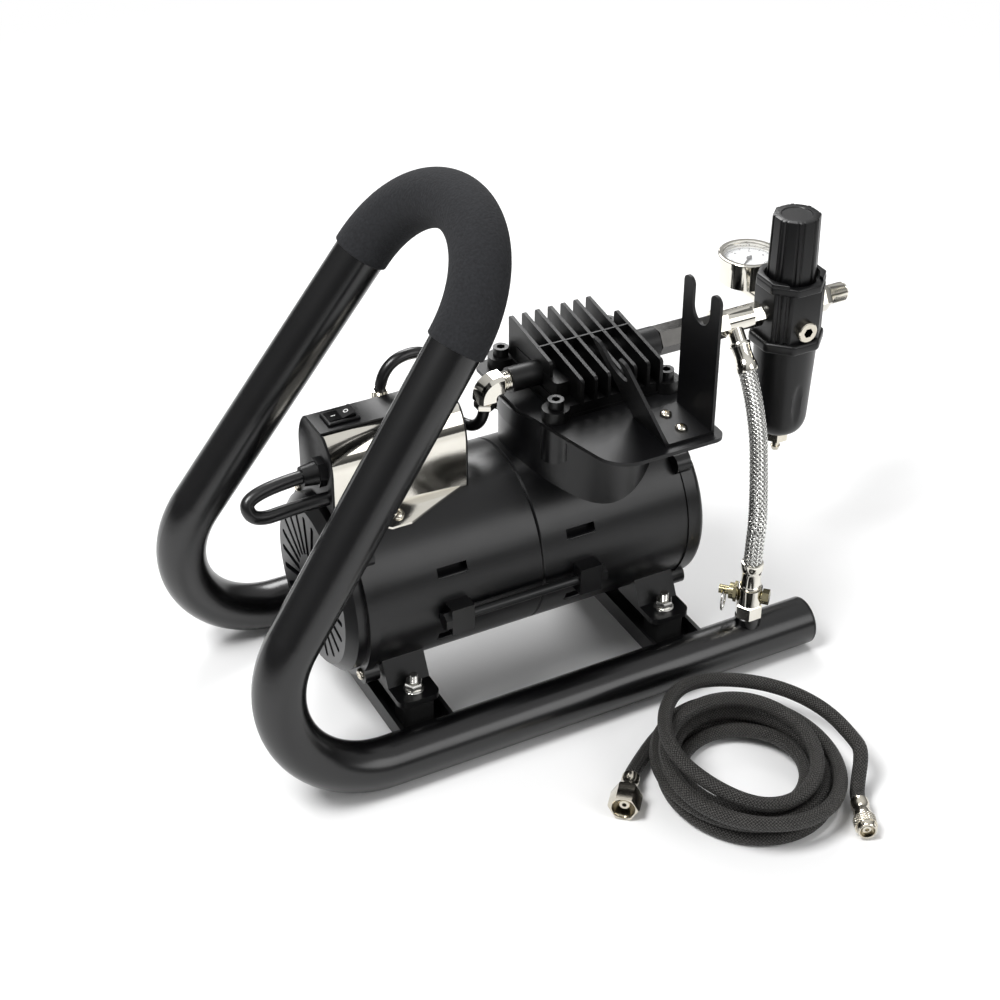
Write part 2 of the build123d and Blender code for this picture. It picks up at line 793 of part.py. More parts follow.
with BuildPart() as valve_plate:
    with BuildSketch(Plane.XY.offset(plate_top_z)):
        with Locations((head_x, head_y)):
            RectangleRounded(head_base_w + 2, head_base_l + 2, 6)
        with Locations(*bolt_spots):
            Circle(lug_r)
        with Locations(*bolt_spots):
            Circle(bolt_d / 2 + stud_gap, mode=Mode.SUBTRACT)
    extrude(amount=valve_plate_t)
valve_plate.part.label = "valve_plate"
export_step(valve_plate.part, "parts/valve_plate.step")

with BuildPart() as cylinder_head:
    with BuildSketch(Plane.XY.offset(base_z)):
        with Locations((head_x, head_y)):
            RectangleRounded(head_base_w, head_base_l, 6)
        with Locations(*bolt_spots):
            Circle(lug_r)
    extrude(amount=head_base_t)
    with BuildSketch(Plane.XY.offset(base_top_z)):
        with Locations((head_x, head_y)):
            RectangleRounded(core_w, core_l, 3)
    extrude(amount=core_t)
    fin_slope = (fin_rear_z - fin_front_z) / (fin_front + fin_rear)
    for i in range(fin_count):
        y0 = head_y - (fin_short_front if i == 0 else fin_front)
        y1 = head_y + (fin_short_rear if i == fin_count - 1 else fin_rear)
        z0 = fin_front_z + fin_slope * (y0 - head_y + fin_front)
        z1 = fin_front_z + fin_slope * (y1 - head_y + fin_front)
        fin_x = fin_x0 + i * fin_pitch - fin_t / 2
        with BuildSketch(Plane(origin=(fin_x, 0, 0), x_dir=(0, 1, 0), z_dir=(1, 0, 0))) as fin:
            Polygon((y0, base_top_z), (y1, base_top_z), (y1, z1), (y0, z0), align=None)
            fillet(fin.vertices().sort_by(Axis.Y)[-2:], radius=2.5)
        extrude(amount=fin_t)
    with BuildSketch(Plane(origin=(fin_x0, head_y, 0), x_dir=(1, 0, 0), z_dir=(0, -1, 0))):
        Polygon(
            (0, core_top_z),
            (fin_pitch * (fin_count - 1), core_top_z),
            (fin_pitch * (fin_count - 1), fin_front_z + fin_slope * fin_front),
            (0, fin_front_z + fin_slope * fin_front),
            align=None,
        )
    extrude(amount=rib_t)
    with BuildSketch(Plane(origin=(head_x, 0, line_z), x_dir=(0, 1, 0), z_dir=(-1, 0, 0))):
        Circle(left_boss_d / 2)
    extrude(amount=head_x - left_port_x)
    with BuildSketch(Plane(origin=(head_x, 0, line_z), x_dir=(0, 1, 0), z_dir=(1, 0, 0))):
        Circle(right_boss_d / 2)
    extrude(amount=right_port_x - head_x)
    with BuildSketch(Plane(origin=(left_port_x, 0, line_z), x_dir=(0, 1, 0), z_dir=(1, 0, 0))):
        Circle(port_bore / 2)
    extrude(amount=port_depth, mode=Mode.SUBTRACT)
    with BuildSketch(Plane(origin=(right_port_x, 0, line_z), x_dir=(0, 1, 0), z_dir=(-1, 0, 0))):
        Circle(port_bore / 2)
    extrude(amount=port_depth, mode=Mode.SUBTRACT)
    with Locations(*[(x, y, base_top_z) for x, y in bolt_spots]):
        Cylinder(bolt_d / 2 + stud_gap, head_base_t * 3, mode=Mode.SUBTRACT)
        Cylinder(
            bolt_head_d / 2 + 0.6, core_t * 2, align=(Align.CENTER, Align.CENTER, Align.MIN), mode=Mode.SUBTRACT
        )
cylinder_head.part.label = "cylinder_head"
export_step(cylinder_head.part, "parts/cylinder_head.step")

with BuildPart() as head_bolts:
    bolt_bottom_z = plate_z - bolt_depth + 1
    with Locations(*[(x, y, base_top_z) for x, y in bolt_spots]):
        Cylinder(bolt_d / 2, base_top_z - bolt_bottom_z, align=(Align.CENTER, Align.CENTER, Align.MAX))
        Cylinder(bolt_head_d / 2, bolt_head_h, align=(Align.CENTER, Align.CENTER, Align.MIN))
    with BuildSketch(Plane.XY.offset(base_top_z + bolt_head_h)):
        with Locations(*bolt_spots):
            RegularPolygon(across(bolt_socket), 6)
    extrude(amount=-bolt_head_h / 2, mode=Mode.SUBTRACT)
head_bolts.part.label = "head_bolts"
export_step(head_bolts.part, "parts/head_bolts.step")

with BuildPart() as airbrush_holder:
    with BuildSketch(Plane.XY.offset(plate_top_z)):
        with Locations((holder_left_x, holder_front_y)):
            Rectangle(holder_right_x - holder_left_x, holder_w, align=Align.MIN)
    extrude(amount=holder_t)
    right_fork = Plane(
        origin=(holder_right_x, holder_front_y + holder_w / 2, plate_top_z), x_dir=(0, 1, 0), z_dir=(1, 0, 0)
    )
    lean = radians(fork_left_lean)
    left_fork = Plane(
        origin=(holder_left_x, holder_front_y + holder_w / 2, plate_top_z),
        x_dir=(0, 1, 0),
        z_dir=(cos(lean), 0, sin(lean)),
    )
    for fork, height, side in ((right_fork, fork_right_h, -1), (left_fork, fork_left_h, 1)):
        with BuildSketch(fork) as outline:
            Rectangle(holder_w, height, align=(Align.CENTER, Align.MIN))
            with Locations((0, height)):
                SlotOverall(notch_depth * 2, holder_w - 2 * prong_w, rotation=90, mode=Mode.SUBTRACT)
            fillet(outline.vertices().group_by(Axis.Y)[-1], radius=prong_w * 0.45)
        extrude(amount=side * holder_t)
    with Locations(*[(holder_screw_x, y, plate_top_z) for y in holder_screw_ys]):
        Cylinder(screw_r + fit_gap, holder_t * 4, mode=Mode.SUBTRACT)
airbrush_holder.part.label = "airbrush_holder"
export_step(airbrush_holder.part, "parts/airbrush_holder.step")

box_outline = [
    (box_sides[0], axis_z),
    (box_sides[0], box_side_z),
    (box_y - box_top_w / 2, box_top_z),
    (box_y + box_top_w / 2, box_top_z),
    (box_sides[1], box_side_z),
    (box_sides[1], axis_z),
]
fitting_x = box_right_x - fitting_in
fitting_y = box_y + box_top_w / 2 + fitting_back

with BuildPart() as tab_strip:
    with BuildSketch(drum_plane.offset(box_left_x + end_plate_t)):
        Circle(drum_r + box_sheet)
        Circle(drum_r, mode=Mode.SUBTRACT)
    extrude(amount=box_right_x - box_left_x - 2 * end_plate_t)
    with BuildSketch(Plane.XY.offset(axis_z)):
        for side, way in zip(box_sides, (-1, 1)):
            Polygon(
                (box_left_x, side - way * box_sheet),
                (box_right_x, side - way * box_sheet),
                (tab_x + tab_tip_w / 2, side + way * tab_reach),
                (tab_x - tab_tip_w / 2, side + way * tab_reach),
                align=None,
            )
    extrude(amount=drum_d, mode=Mode.INTERSECT)

with BuildPart() as switch_shell:
    shell_plane = Plane(origin=(box_left_x + end_plate_t, 0, 0), x_dir=(0, 1, 0), z_dir=(1, 0, 0))
    with BuildSketch(shell_plane) as shell_outer:
        Polygon(*box_outline, align=None)
        fillet(shell_outer.vertices().group_by(Axis.Y)[1:], radius=box_round)
    extrude(amount=box_right_x - box_left_x - 2 * end_plate_t)
    with BuildSketch(shell_plane) as shell_inner:
        Polygon(*box_outline, align=None)
        fillet(shell_inner.vertices().group_by(Axis.Y)[1:], radius=box_round)
        offset(amount=-box_sheet)
    extrude(amount=box_right_x - box_left_x - 2 * end_plate_t, mode=Mode.SUBTRACT)
    with BuildSketch(drum_plane.offset(box_left_x)):
        Circle(drum_r)
    extrude(amount=box_right_x - box_left_x, mode=Mode.SUBTRACT)
    add(tab_strip.part)
    with BuildSketch(drum_plane.offset(box_left_x)):
        Circle(drum_r + fan_cover_rim + stud_gap)
    extrude(amount=shell_left_x + stud_gap - box_left_x, mode=Mode.SUBTRACT)
    with Locations((switch_x, box_y, box_top_z)):
        Box(switch_body_l + 2 * stud_gap, switch_body_w + 2 * stud_gap, box_sheet * 4, mode=Mode.SUBTRACT)
    with Locations((fitting_x, fitting_y, box_side_z)):
        Cylinder(hose_d / 2 + 2, box_w, mode=Mode.SUBTRACT)
    with Locations(*tab_planes):
        Cylinder(screw_r + fit_gap, box_sheet * 6, mode=Mode.SUBTRACT)
switch_shell.part.label = "switch_shell"
export_step(switch_shell.part, "parts/switch_shell.step")

with BuildPart() as switch_frame:
    for x in (box_left_x, box_right_x - end_plate_t):
        with BuildSketch(Plane(origin=(x, 0, 0), x_dir=(0, 1, 0), z_dir=(1, 0, 0))) as plate_profile:
            Polygon(*box_outline, align=None)
            fillet(plate_profile.vertices().group_by(Axis.Y)[1:], radius=box_round)
            with Locations((0, axis_z)):
                Circle(drum_r + (fan_cover_rim + stud_gap if x == box_left_x else 0), mode=Mode.SUBTRACT)
        extrude(amount=end_plate_t)
    with Locations(((box_left_x + box_right_x) / 2, box_y, box_top_z)):
        Box(box_right_x - box_left_x, strip_w, strip_t, align=(Align.CENTER, Align.CENTER, Align.MIN))
    with Locations((switch_x, box_y, box_top_z)):
        Box(switch_body_l + 2 * stud_gap, switch_body_w + 2 * stud_gap, strip_t * 4, mode=Mode.SUBTRACT)
    with Locations((box_left_x, gland_y, gland_z), (box_left_x, lead_in_y, lead_in_z)):
        Cylinder(lead_d / 2 + stud_gap, end_plate_t * 4, rotation=(0, 90, 0), mode=Mode.SUBTRACT)
switch_frame.part.label = "switch_frame"
export_step(switch_frame.part, "parts/switch_frame.step")

with BuildPart() as switch_bezel:
    with BuildSketch(Plane.XY.offset(strip_top_z)):
        with Locations((switch_x, box_y)):
            RectangleRounded(bezel_l, bezel_w, 1.5)
    extrude(amount=bezel_t)
    chamfer(switch_bezel.edges().group_by(Axis.Z)[-1], length=0.5)
    with Locations((switch_x, box_y, strip_top_z)):
        Box(switch_body_l, switch_body_w, switch_body_h, align=(Align.CENTER, Align.CENTER, Align.MAX))
    with Locations((switch_x, box_y, strip_top_z + bezel_t)):
        Box(
            rocker_l + 2 * rocker_gap,
            rocker_w + 2 * rocker_gap,
            bezel_t + 6,
            align=(Align.CENTER, Align.CENTER, Align.MAX),
            mode=Mode.SUBTRACT,
        )
    with Locations((switch_x, box_y, strip_top_z)):
        Cylinder(1 + running_gap, rocker_w + 1.6 + 2 * rocker_gap, rotation=(90, 0, 0), mode=Mode.SUBTRACT)
switch_bezel.part.label = "switch_bezel"
export_step(switch_bezel.part, "parts/switch_bezel.step")

with BuildPart() as switch_rocker:
    half = rocker_l / 2
    tilt = radians(rocker_tilt)
    rocker_points = [(-half, -1.6), (-half, 3.6), (0, 2.4), (half, 3.6), (half, -1.6), (0, -3.2)]
    turned = [(x * cos(tilt) - z * sin(tilt), x * sin(tilt) + z * cos(tilt)) for x, z in rocker_points]
    with BuildSketch(Plane(origin=(switch_x, box_y + rocker_w / 2, strip_top_z), x_dir=(1, 0, 0), z_dir=(0, -1, 0))):
        Polygon(*turned, align=None)
    extrude(amount=rocker_w)
    with Locations((switch_x, box_y, strip_top_z)):
        Cylinder(1, rocker_w + 1.2 + 2 * rocker_gap, rotation=(90, 0, 0))
switch_rocker.part.label = "switch_rocker"
export_step(switch_rocker.part, "parts/switch_rocker.step")

with BuildPart() as cable_gland:
    gland_plane = Plane(origin=(box_left_x, gland_y, gland_z), x_dir=(0, 1, 0), z_dir=(-1, 0, 0))
    with BuildSketch(gland_plane):
        RegularPolygon(across(gland_d), 6)
    extrude(amount=gland_l * 0.35)
    with BuildSketch(gland_plane.offset(gland_l * 0.35)):
        Circle(gland_d * 0.46)
    extrude(amount=gland_l * 0.65, taper=8)
    with BuildSketch(gland_plane):
        Circle(lead_d / 2 + fit_gap)
    extrude(amount=gland_l, mode=Mode.SUBTRACT)
cable_gland.part.label = "cable_gland"
export_step(cable_gland.part, "parts/cable_gland.step")

lead_points = [
    Vector(box_left_x, gland_y, gland_z),
    Vector(box_left_x - lead_loop, gland_y, gland_z),
    Vector(box_left_x - lead_loop, lead_in_y - lead_sag, lead_in_z - lead_sag / 2),
    Vector(box_left_x - lead_return, lead_in_y, lead_in_z),
    Vector(box_left_x + end_plate_t, lead_in_y, lead_in_z),
]
with BuildPart() as motor_lead:
    with BuildLine():
        FilletPolyline(*lead_points, radius=bends(lead_points))
    with BuildSketch(Plane(origin=lead_points[0], z_dir=lead_points[1] - lead_points[0])):
        Circle(lead_d / 2)
    sweep()
motor_lead.part.label = "motor_lead"
export_step(motor_lead.part, "parts/motor_lead.step")

elbow_x = left_port_x - elbow_reach
with BuildPart() as port_elbow:
    elbow_plane = Plane(origin=(left_port_x, 0, line_z), x_dir=(0, 1, 0), z_dir=(-1, 0, 0))
    with BuildSketch(elbow_plane):
        Circle(port_bore / 2 - fit_gap)
    extrude(amount=-(port_depth - 2))
    with BuildSketch(elbow_plane):
        RegularPolygon(across(elbow_d + 1), 6)
    extrude(amount=7)
    with BuildSketch(elbow_plane):
        Circle(elbow_d / 2 - 1)
    extrude(amount=left_port_x - elbow_x)
    with Locations((elbow_x, 0, line_z)):
        Sphere(elbow_d / 2)
        Cylinder(elbow_d / 2, elbow_d, align=(Align.CENTER, Align.CENTER, Align.MAX))
    with Locations((elbow_x, 0, line_z - elbow_d)):
        Cylinder(hose_d / 2 + fit_gap, elbow_d * 0.6, align=(Align.CENTER, Align.CENTER, Align.MIN), mode=Mode.SUBTRACT)
port_elbow.part.label = "port_elbow"
export_step(port_elbow.part, "parts/port_elbow.step")

hose_points = [
    Vector(elbow_x, 0, line_z - elbow_d * 0.4),
    Vector(elbow_x, 0, line_z - hose_drop),
    Vector(elbow_x - 0.8 * hose_swing, 0.8 * hose_back, line_z - 0.95 * hose_drop),
    Vector(elbow_x - hose_swing, hose_back, line_z + hose_over),
    Vector(fitting_x, fitting_y, line_z + hose_over),
    Vector(fitting_x, fitting_y, box_top_z - 6),
]
with BuildPart() as pressure_hose:
    with BuildLine():
        FilletPolyline(*hose_points, radius=bends(hose_points))
    with BuildSketch(Plane(origin=hose_points[0], z_dir=(0, 0, -1))):
        Circle(hose_d / 2)
    sweep()
pressure_hose.part.label = "pressure_hose"
export_step(pressure_hose.part, "parts/pressure_hose.step")

with BuildPart() as box_fitting:
    with Locations((fitting_x, fitting_y, box_top_z + 2)):
        Cylinder(hose_d / 2 + 1.8, fitting_l, align=(Align.CENTER, Align.CENTER, Align.MAX))
        Cylinder(hose_d / 2 + fit_gap, 8, align=(Align.CENTER, Align.CENTER, Align.MAX), mode=Mode.SUBTRACT)
box_fitting.part.label = "box_fitting"
export_step(box_fitting.part, "parts/box_fitting.step")

with BuildPart() as check_valve:
    check_plane = Plane(origin=(right_port_x, 0, line_z), x_dir=(0, 1, 0), z_dir=(1, 0, 0))
    with BuildSketch(check_plane):
        RegularPolygon(across(valve_hex_w), 6)
    extrude(amount=check_l * 0.78)
    chamfer(check_valve.edges().group_by(Axis.X)[0] + check_valve.edges().group_by(Axis.X)[-1], length=1.2)
    with BuildSketch(check_plane.offset(check_l * 0.78)):
        Circle(valve_hex_w * 0.42)
    extrude(amount=check_l * 0.22)
    with BuildSketch(check_plane):
        Circle(port_bore / 2 - fit_gap)
    extrude(amount=-(port_depth - 2))
check_valve.part.label = "check_valve"
export_step(check_valve.part, "parts/check_valve.step")

branch_x = tee_left_x + tee_hex_l + branch_d / 2 + 1.5
branch_way = Vector(0, -sin(radians(branch_tilt)), -cos(radians(branch_tilt)))
branch_end = Vector(branch_x, 0, line_z) + branch_way * branch_l
with BuildPart() as outlet_tee:
    tee_plane = Plane(origin=(tee_left_x, 0, line_z), x_dir=(0, 1, 0), z_dir=(1, 0, 0))
    tee_l = tee_right_x - tee_left_x
    with BuildSketch(tee_plane):
        Circle(tee_d / 2)
    extrude(amount=tee_l - tee_hex_l - 3)
    with BuildSketch(tee_plane):
        RegularPolygon(across(tee_hex), 6)
    extrude(amount=tee_hex_l)
    with BuildSketch(tee_plane.offset(tee_l - tee_hex_l - 3)):
        RegularPolygon(across(tee_hex - 3), 6)
    extrude(amount=tee_hex_l)
    with BuildSketch(tee_plane.offset(tee_l - 3)):
        Circle(tee_d * 0.36)
    extrude(amount=3)
    with BuildSketch(tee_plane.offset(tee_l)):
        Circle(port_bore / 2 - fit_gap)
    extrude(amount=port_depth - 4)
    with BuildSketch(Plane(origin=(branch_x, 0, line_z), z_dir=branch_way)):
        Circle(branch_d / 2)
    extrude(amount=branch_l)
outlet_tee.part.label = "outlet_tee"
export_step(outlet_tee.part, "parts/outlet_tee.step")

hose_top = branch_end
hose_foot = Vector(boss_x, -rail_y, ferrule_z)
tank_hose_points = [
    hose_top,
    hose_top + branch_way * tank_hose_in,
    hose_foot + Vector(3, 2, tank_hose_rise),
    hose_foot + Vector(0, 0, tank_hose_foot),
    hose_foot,
]
with BuildPart() as tank_hose:
    with BuildLine():
        FilletPolyline(*tank_hose_points, radius=bends(tank_hose_points))
    with BuildSketch(Plane(origin=hose_top, z_dir=branch_way)):
        Circle(tank_hose_d / 2)
    sweep()
tank_hose.part.label = "tank_hose"
export_step(tank_hose.part, "parts/tank_hose.step")

with BuildPart() as hose_ferrules:
    for base, way in ((hose_top, branch_way), (hose_foot, Vector(0, 0, 1))):
        with BuildSketch(Plane(origin=base, z_dir=way)):
            Circle(ferrule_d / 2)
            Circle(tank_hose_d / 2 + fit_gap, mode=Mode.SUBTRACT)
        extrude(amount=ferrule_l)
hose_ferrules.part.label = "hose_ferrules"
export_step(hose_ferrules.part, "parts/hose_ferrules.step")

valve_z = fitting_z + fitting_height / 2
valve_way = Vector(cos(radians(valve_turn)), sin(radians(valve_turn)), 0)
fitting_centre = Vector(boss_x, -rail_y, valve_z)
valve_seat = fitting_d / 2 + valve_face_gap
with BuildPart() as tank_fitting:
    with BuildSketch(Plane(origin=(boss_x, -rail_y, boss_top_z))):
        RegularPolygon(across(fitting_hex), 6)
    extrude(amount=fitting_hex_height)
    chamfer(tank_fitting.edges().group_by(Axis.Z)[-1], length=0.8)
    with Locations((boss_x, -rail_y, fitting_z)):
        Cylinder(fitting_d / 2, fitting_height, align=(Align.CENTER, Align.CENTER, Align.MIN))
    with Locations((boss_x, -rail_y, boss_top_z)):
        Cylinder(boss_bore / 2 - fit_gap, boss_height + 1, align=(Align.CENTER, Align.CENTER, Align.MAX))
    with BuildSketch(Plane(origin=fitting_centre, z_dir=valve_way)):
        Circle(spigot_d / 2 + fit_gap)
    extrude(amount=fitting_d, both=True, mode=Mode.SUBTRACT)
tank_fitting.part.label = "tank_fitting"
export_step(tank_fitting.part, "parts/tank_fitting.step")

with BuildPart() as safety_valve:
    valve_plane = Plane(origin=fitting_centre + valve_way * valve_seat, z_dir=valve_way)
    with BuildSketch(valve_plane):
        Circle(spigot_d / 2)
    extrude(amount=-spigot_l)
    with BuildSketch(valve_plane):
        RegularPolygon(across(valve_hex), 6)
    extrude(amount=valve_hex_l)
    with BuildSketch(valve_plane.offset(valve_hex_l)):
        Circle(valve_d / 2)
    extrude(amount=valve_length - valve_hex_l)
    with BuildSketch(valve_plane.offset(valve_length)):
        Circle(stem_d / 2 + running_gap)
    extrude(amount=-(stem_depth + stem_spare), mode=Mode.SUBTRACT)
safety_valve.part.label = "safety_valve"
export_step(safety_valve.part, "parts/safety_valve.step")

eye_centre = fitting_centre + valve_way * (valve_seat + valve_length + stem_out)
with BuildPart() as relief_stem:
    stem_plane = valve_plane.offset(valve_length + stem_out - ring_hole)
    with BuildSketch(stem_plane):
        Circle(stem_d / 2)
    extrude(amount=-(stem_out - ring_hole + stem_depth))
    with BuildSketch(stem_plane):
        Circle(stem_d * 0.75)
    extrude(amount=2 * ring_hole)
    with BuildSketch(Plane(origin=eye_centre, z_dir=valve_way.cross(Vector(0, 0, 1)))):
        Circle(ring_hole / 2)
    extrude(amount=stem_d * 2, both=True, mode=Mode.SUBTRACT)
relief_stem.part.label = "relief_stem"
export_step(relief_stem.part, "parts/relief_stem.step")

with BuildPart() as pull_ring:
    with Locations(Plane(origin=eye_centre - Vector(0, 0, ring_r), z_dir=valve_way)):
        Torus(ring_r, ring_wire / 2)
pull_ring.part.label = "pull_ring"
export_step(pull_ring.part, "parts/pull_ring.step")

with BuildPart() as fitting_plug:
    plug_plane = Plane(origin=fitting_centre - valve_way * valve_seat, z_dir=-valve_way)
    with BuildSketch(plug_plane):
        Circle(spigot_d / 2)
    extrude(amount=-spigot_l)
    with BuildSketch(plug_plane):
        RegularPolygon(across(plug_d), 6)
    extrude(amount=plug_length)
fitting_plug.part.label = "fitting_plug"
export_step(fitting_plug.part, "parts/fitting_plug.step")

with BuildPart() as pan_screws:
    screw_planes = [
        Plane(origin=(holder_screw_x, y, plate_top_z + holder_t), z_dir=(0, 0, 1)) for y in holder_screw_ys
    ]
    screw_planes += [plane.offset(box_sheet) for plane in tab_planes]
    for x, way in ((shell_left_x - flange_t, -1), (crankcase_right_x + flange_t, 1)):
        for y in (-1, 1):
            for z in (-1, 1):
                spread = cover_lug_r / sqrt(2)
                spot = (x, y * spread, axis_z + z * spread)
                screw_planes.append(Plane(origin=spot, x_dir=(0, 1, 0), z_dir=(way, 0, 0)))
    with Locations(*screw_planes):
        Cylinder(screw_head_d / 2, screw_head_h, align=(Align.CENTER, Align.CENTER, Align.MIN))
        Cylinder(screw_r, screw_l, align=(Align.CENTER, Align.CENTER, Align.MAX))
    tops = [plane.offset(screw_head_h).origin for plane in screw_planes]
    rims = [
        edge
        for edge in pan_screws.edges().filter_by(GeomType.CIRCLE)
        if edge.radius > screw_head_d * 0.45 and min((edge.arc_center - top).length for top in tops) < 0.1
    ]
    fillet(rims, radius=screw_head_h * 0.6)
pan_screws.part.label = "pan_screws"
export_step(pan_screws.part, "parts/pan_screws.step")

port_reach = port_depth - bore_extra
with BuildPart() as regulator_body:
    with BuildSketch(Plane.XY.offset(reg_body_z)) as block:
        with Locations((reg_x, 0)):
            Rectangle(reg_w, reg_w)
        chamfer(block.vertices(), length=reg_chamfer)
        with Locations((reg_x, 0)):
            with PolarLocations((reg_w - reg_chamfer) / sqrt(2), 4, start_angle=45):
                with Locations((0, -rib_groove_y), (0, rib_groove_y)):
                    Rectangle(2 * rib_groove_d, rib_groove_w, mode=Mode.SUBTRACT)
    extrude(amount=reg_body_h)
    with BuildSketch(Plane.XY.offset(bowl_ring_z)):
        with Locations((reg_x, 0)):
            RegularPolygon(octagon(bowl_ring_d), 8, rotation=22.5)
            Circle(bowl_top_d / 2 + fit_gap, mode=Mode.SUBTRACT)
    extrude(amount=bowl_ring_h)
    with Locations((reg_x, 0, collar_z)):
        Cylinder(bonnet_d / 2, bonnet_h, align=(Align.CENTER, Align.CENTER, Align.MIN))
    with Locations((reg_x, 0, bonnet_top_z)):
        Cylinder(
            spindle_d / 2 + running_gap,
            spindle_depth + bore_extra,
            align=(Align.CENTER, Align.CENTER, Align.MAX),
            mode=Mode.SUBTRACT,
        )
    for way in (Vector(1, 0, 0), Vector(-1, 0, 0)):
        with BuildSketch(Plane(origin=Vector(reg_x, 0, line_z) + way * reg_w / 2, z_dir=-way)):
            Circle(port_bore / 2)
        extrude(amount=port_depth, mode=Mode.SUBTRACT)
    for way in (Vector(0, 1, 0), Vector(0, -1, 0)):
        with BuildSketch(Plane(origin=Vector(reg_x, 0, gauge_port_z) + way * reg_w / 2, z_dir=-way)):
            Circle(port_bore / 2)
        extrude(amount=port_depth, mode=Mode.SUBTRACT)
regulator_body.part.label = "regulator_body"
export_step(regulator_body.part, "parts/regulator_body.step")

with BuildPart() as collar_ring:
    with BuildSketch(Plane.XY.offset(collar_z)):
        with Locations((reg_x, 0)):
            RegularPolygon(octagon(collar_w), 8, rotation=22.5)
            Circle(bonnet_d / 2 + fit_gap, mode=Mode.SUBTRACT)
    extrude(amount=collar_h)
    with BuildSketch(Plane.XY.offset(collar_z + collar_h)):
        with Locations((reg_x, 0)):
            RegularPolygon(octagon(collar_w), 8, rotation=22.5)
            Circle(collar_bore_d / 2, mode=Mode.SUBTRACT)
            Rectangle(collar_tab_gap, collar_w * 2, mode=Mode.SUBTRACT)
    extrude(amount=collar_tooth)
collar_ring.part.label = "collar_ring"
export_step(collar_ring.part, "parts/collar_ring.step")

spindle_z = bonnet_top_z + knob_gap
spindle_top_z = spindle_z + spindle_base_t + spindle_h
with BuildPart() as regulator_spindle:
    with Locations((reg_x, 0, spindle_z)):
        Cylinder(spindle_base_d / 2, spindle_base_t, align=(Align.CENTER, Align.CENTER, Align.MIN))
        Cylinder(spindle_d / 2, spindle_depth + knob_gap, align=(Align.CENTER, Align.CENTER, Align.MAX))
    with BuildSketch(Plane.XY.offset(spindle_z + spindle_base_t)):
        with Locations((reg_x, 0)):
            RegularPolygon(spindle_d / 2, 6)
    extrude(amount=spindle_h)
regulator_spindle.part.label = "regulator_spindle"
export_step(regulator_spindle.part, "parts/regulator_spindle.step")

with BuildPart() as regulator_knob:
    with BuildSketch(Plane.XY.offset(knob_z)):
        with Locations((reg_x, 0)):
            RegularPolygon(octagon(knob_w), 8, rotation=22.5)
            with PolarLocations(octagon(knob_w), 8, start_angle=22.5):
                Circle(knob_groove, mode=Mode.SUBTRACT)
    extrude(amount=knob_h)
    chamfer(regulator_knob.edges().group_by(Axis.Z)[-1], length=0.8)
    with Locations((reg_x, 0, knob_z)):
        Cylinder(
            bonnet_d / 2 + knob_gap,
            spindle_z + 2 * spindle_base_t - knob_z,
            align=(Align.CENTER, Align.CENTER, Align.MIN),
            mode=Mode.SUBTRACT,
        )
    with Locations((reg_x, 0, knob_z + knob_h)):
        Cylinder(knob_recess_d / 2, knob_recess * 2, mode=Mode.SUBTRACT)
    with BuildSketch(Plane.XY.offset(knob_z)):
        with Locations((reg_x, 0)):
            RegularPolygon(spindle_d / 2 + knob_gap, 6)
    extrude(amount=spindle_top_z + knob_gap - knob_z, mode=Mode.SUBTRACT)
regulator_knob.part.label = "regulator_knob"
export_step(regulator_knob.part, "parts/regulator_knob.step")

with BuildPart() as filter_bowl:
    top_r = bowl_top_d / 2
    bottom_r = bowl_bottom_d / 2
    neck_z = bowl_z + bowl_foot
    drain_r = drain_spigot_d / 2 + fit_gap
    with BuildSketch(Plane(origin=(reg_x, 0, 0), x_dir=(1, 0, 0), z_dir=(0, -1, 0))):
        Polygon(
            (drain_r, bowl_z),
            (bottom_r - bowl_foot, bowl_z),
            (bottom_r, neck_z),
            (top_r, bowl_ring_z),
            (top_r, reg_body_z),
            (top_r - bowl_wall, reg_body_z),
            (top_r - bowl_wall, bowl_ring_z),
            (bottom_r - bowl_wall, neck_z),
            (bottom_r - bowl_foot, bowl_z + bowl_wall),
            (drain_r, bowl_z + bowl_wall),
            align=None,
        )
    revolve(axis=Axis((reg_x, 0, 0), (0, 0, 1)))
    flare = atan2(top_r - bottom_r, bowl_ring_z - neck_z)
    window_z = neck_z + bowl_window_h * 0.7
    window_r = bottom_r + (window_z - neck_z) * tan(flare)
    for i in range(bowl_windows):
        turn = radians(360 * (i + 0.5) / bowl_windows)
        out = Vector(cos(turn), sin(turn), 0)
        window = Plane(
            origin=Vector(reg_x, 0, window_z) + out * window_r,
            x_dir=out * sin(flare) + Vector(0, 0, cos(flare)),
            z_dir=out * cos(flare) - Vector(0, 0, sin(flare)),
        )
        with BuildSketch(window):
            SlotOverall(bowl_window_h, bowl_window_w)
        extrude(amount=bowl_window_depth, both=True, mode=Mode.SUBTRACT)
filter_bowl.part.label = "filter_bowl"
export_step(filter_bowl.part, "parts/filter_bowl.step")

with BuildPart() as drain_body:
    with Locations((reg_x, 0, bowl_z)):
        Cylinder(drain_spigot_d / 2, bowl_wall, align=(Align.CENTER, Align.CENTER, Align.MIN))
    with BuildSketch(Plane.XY.offset(bowl_z)):
        with Locations((reg_x, 0)):
            RegularPolygon(across(drain_hex), 6)
    extrude(amount=-drain_h)
    with Locations((reg_x, 0, bowl_z)):
        Cylinder(drain_stem_d / 2 + running_gap, drain_h * 4, mode=Mode.SUBTRACT)
drain_body.part.label = "drain_body"
export_step(drain_body.part, "parts/drain_body.step")

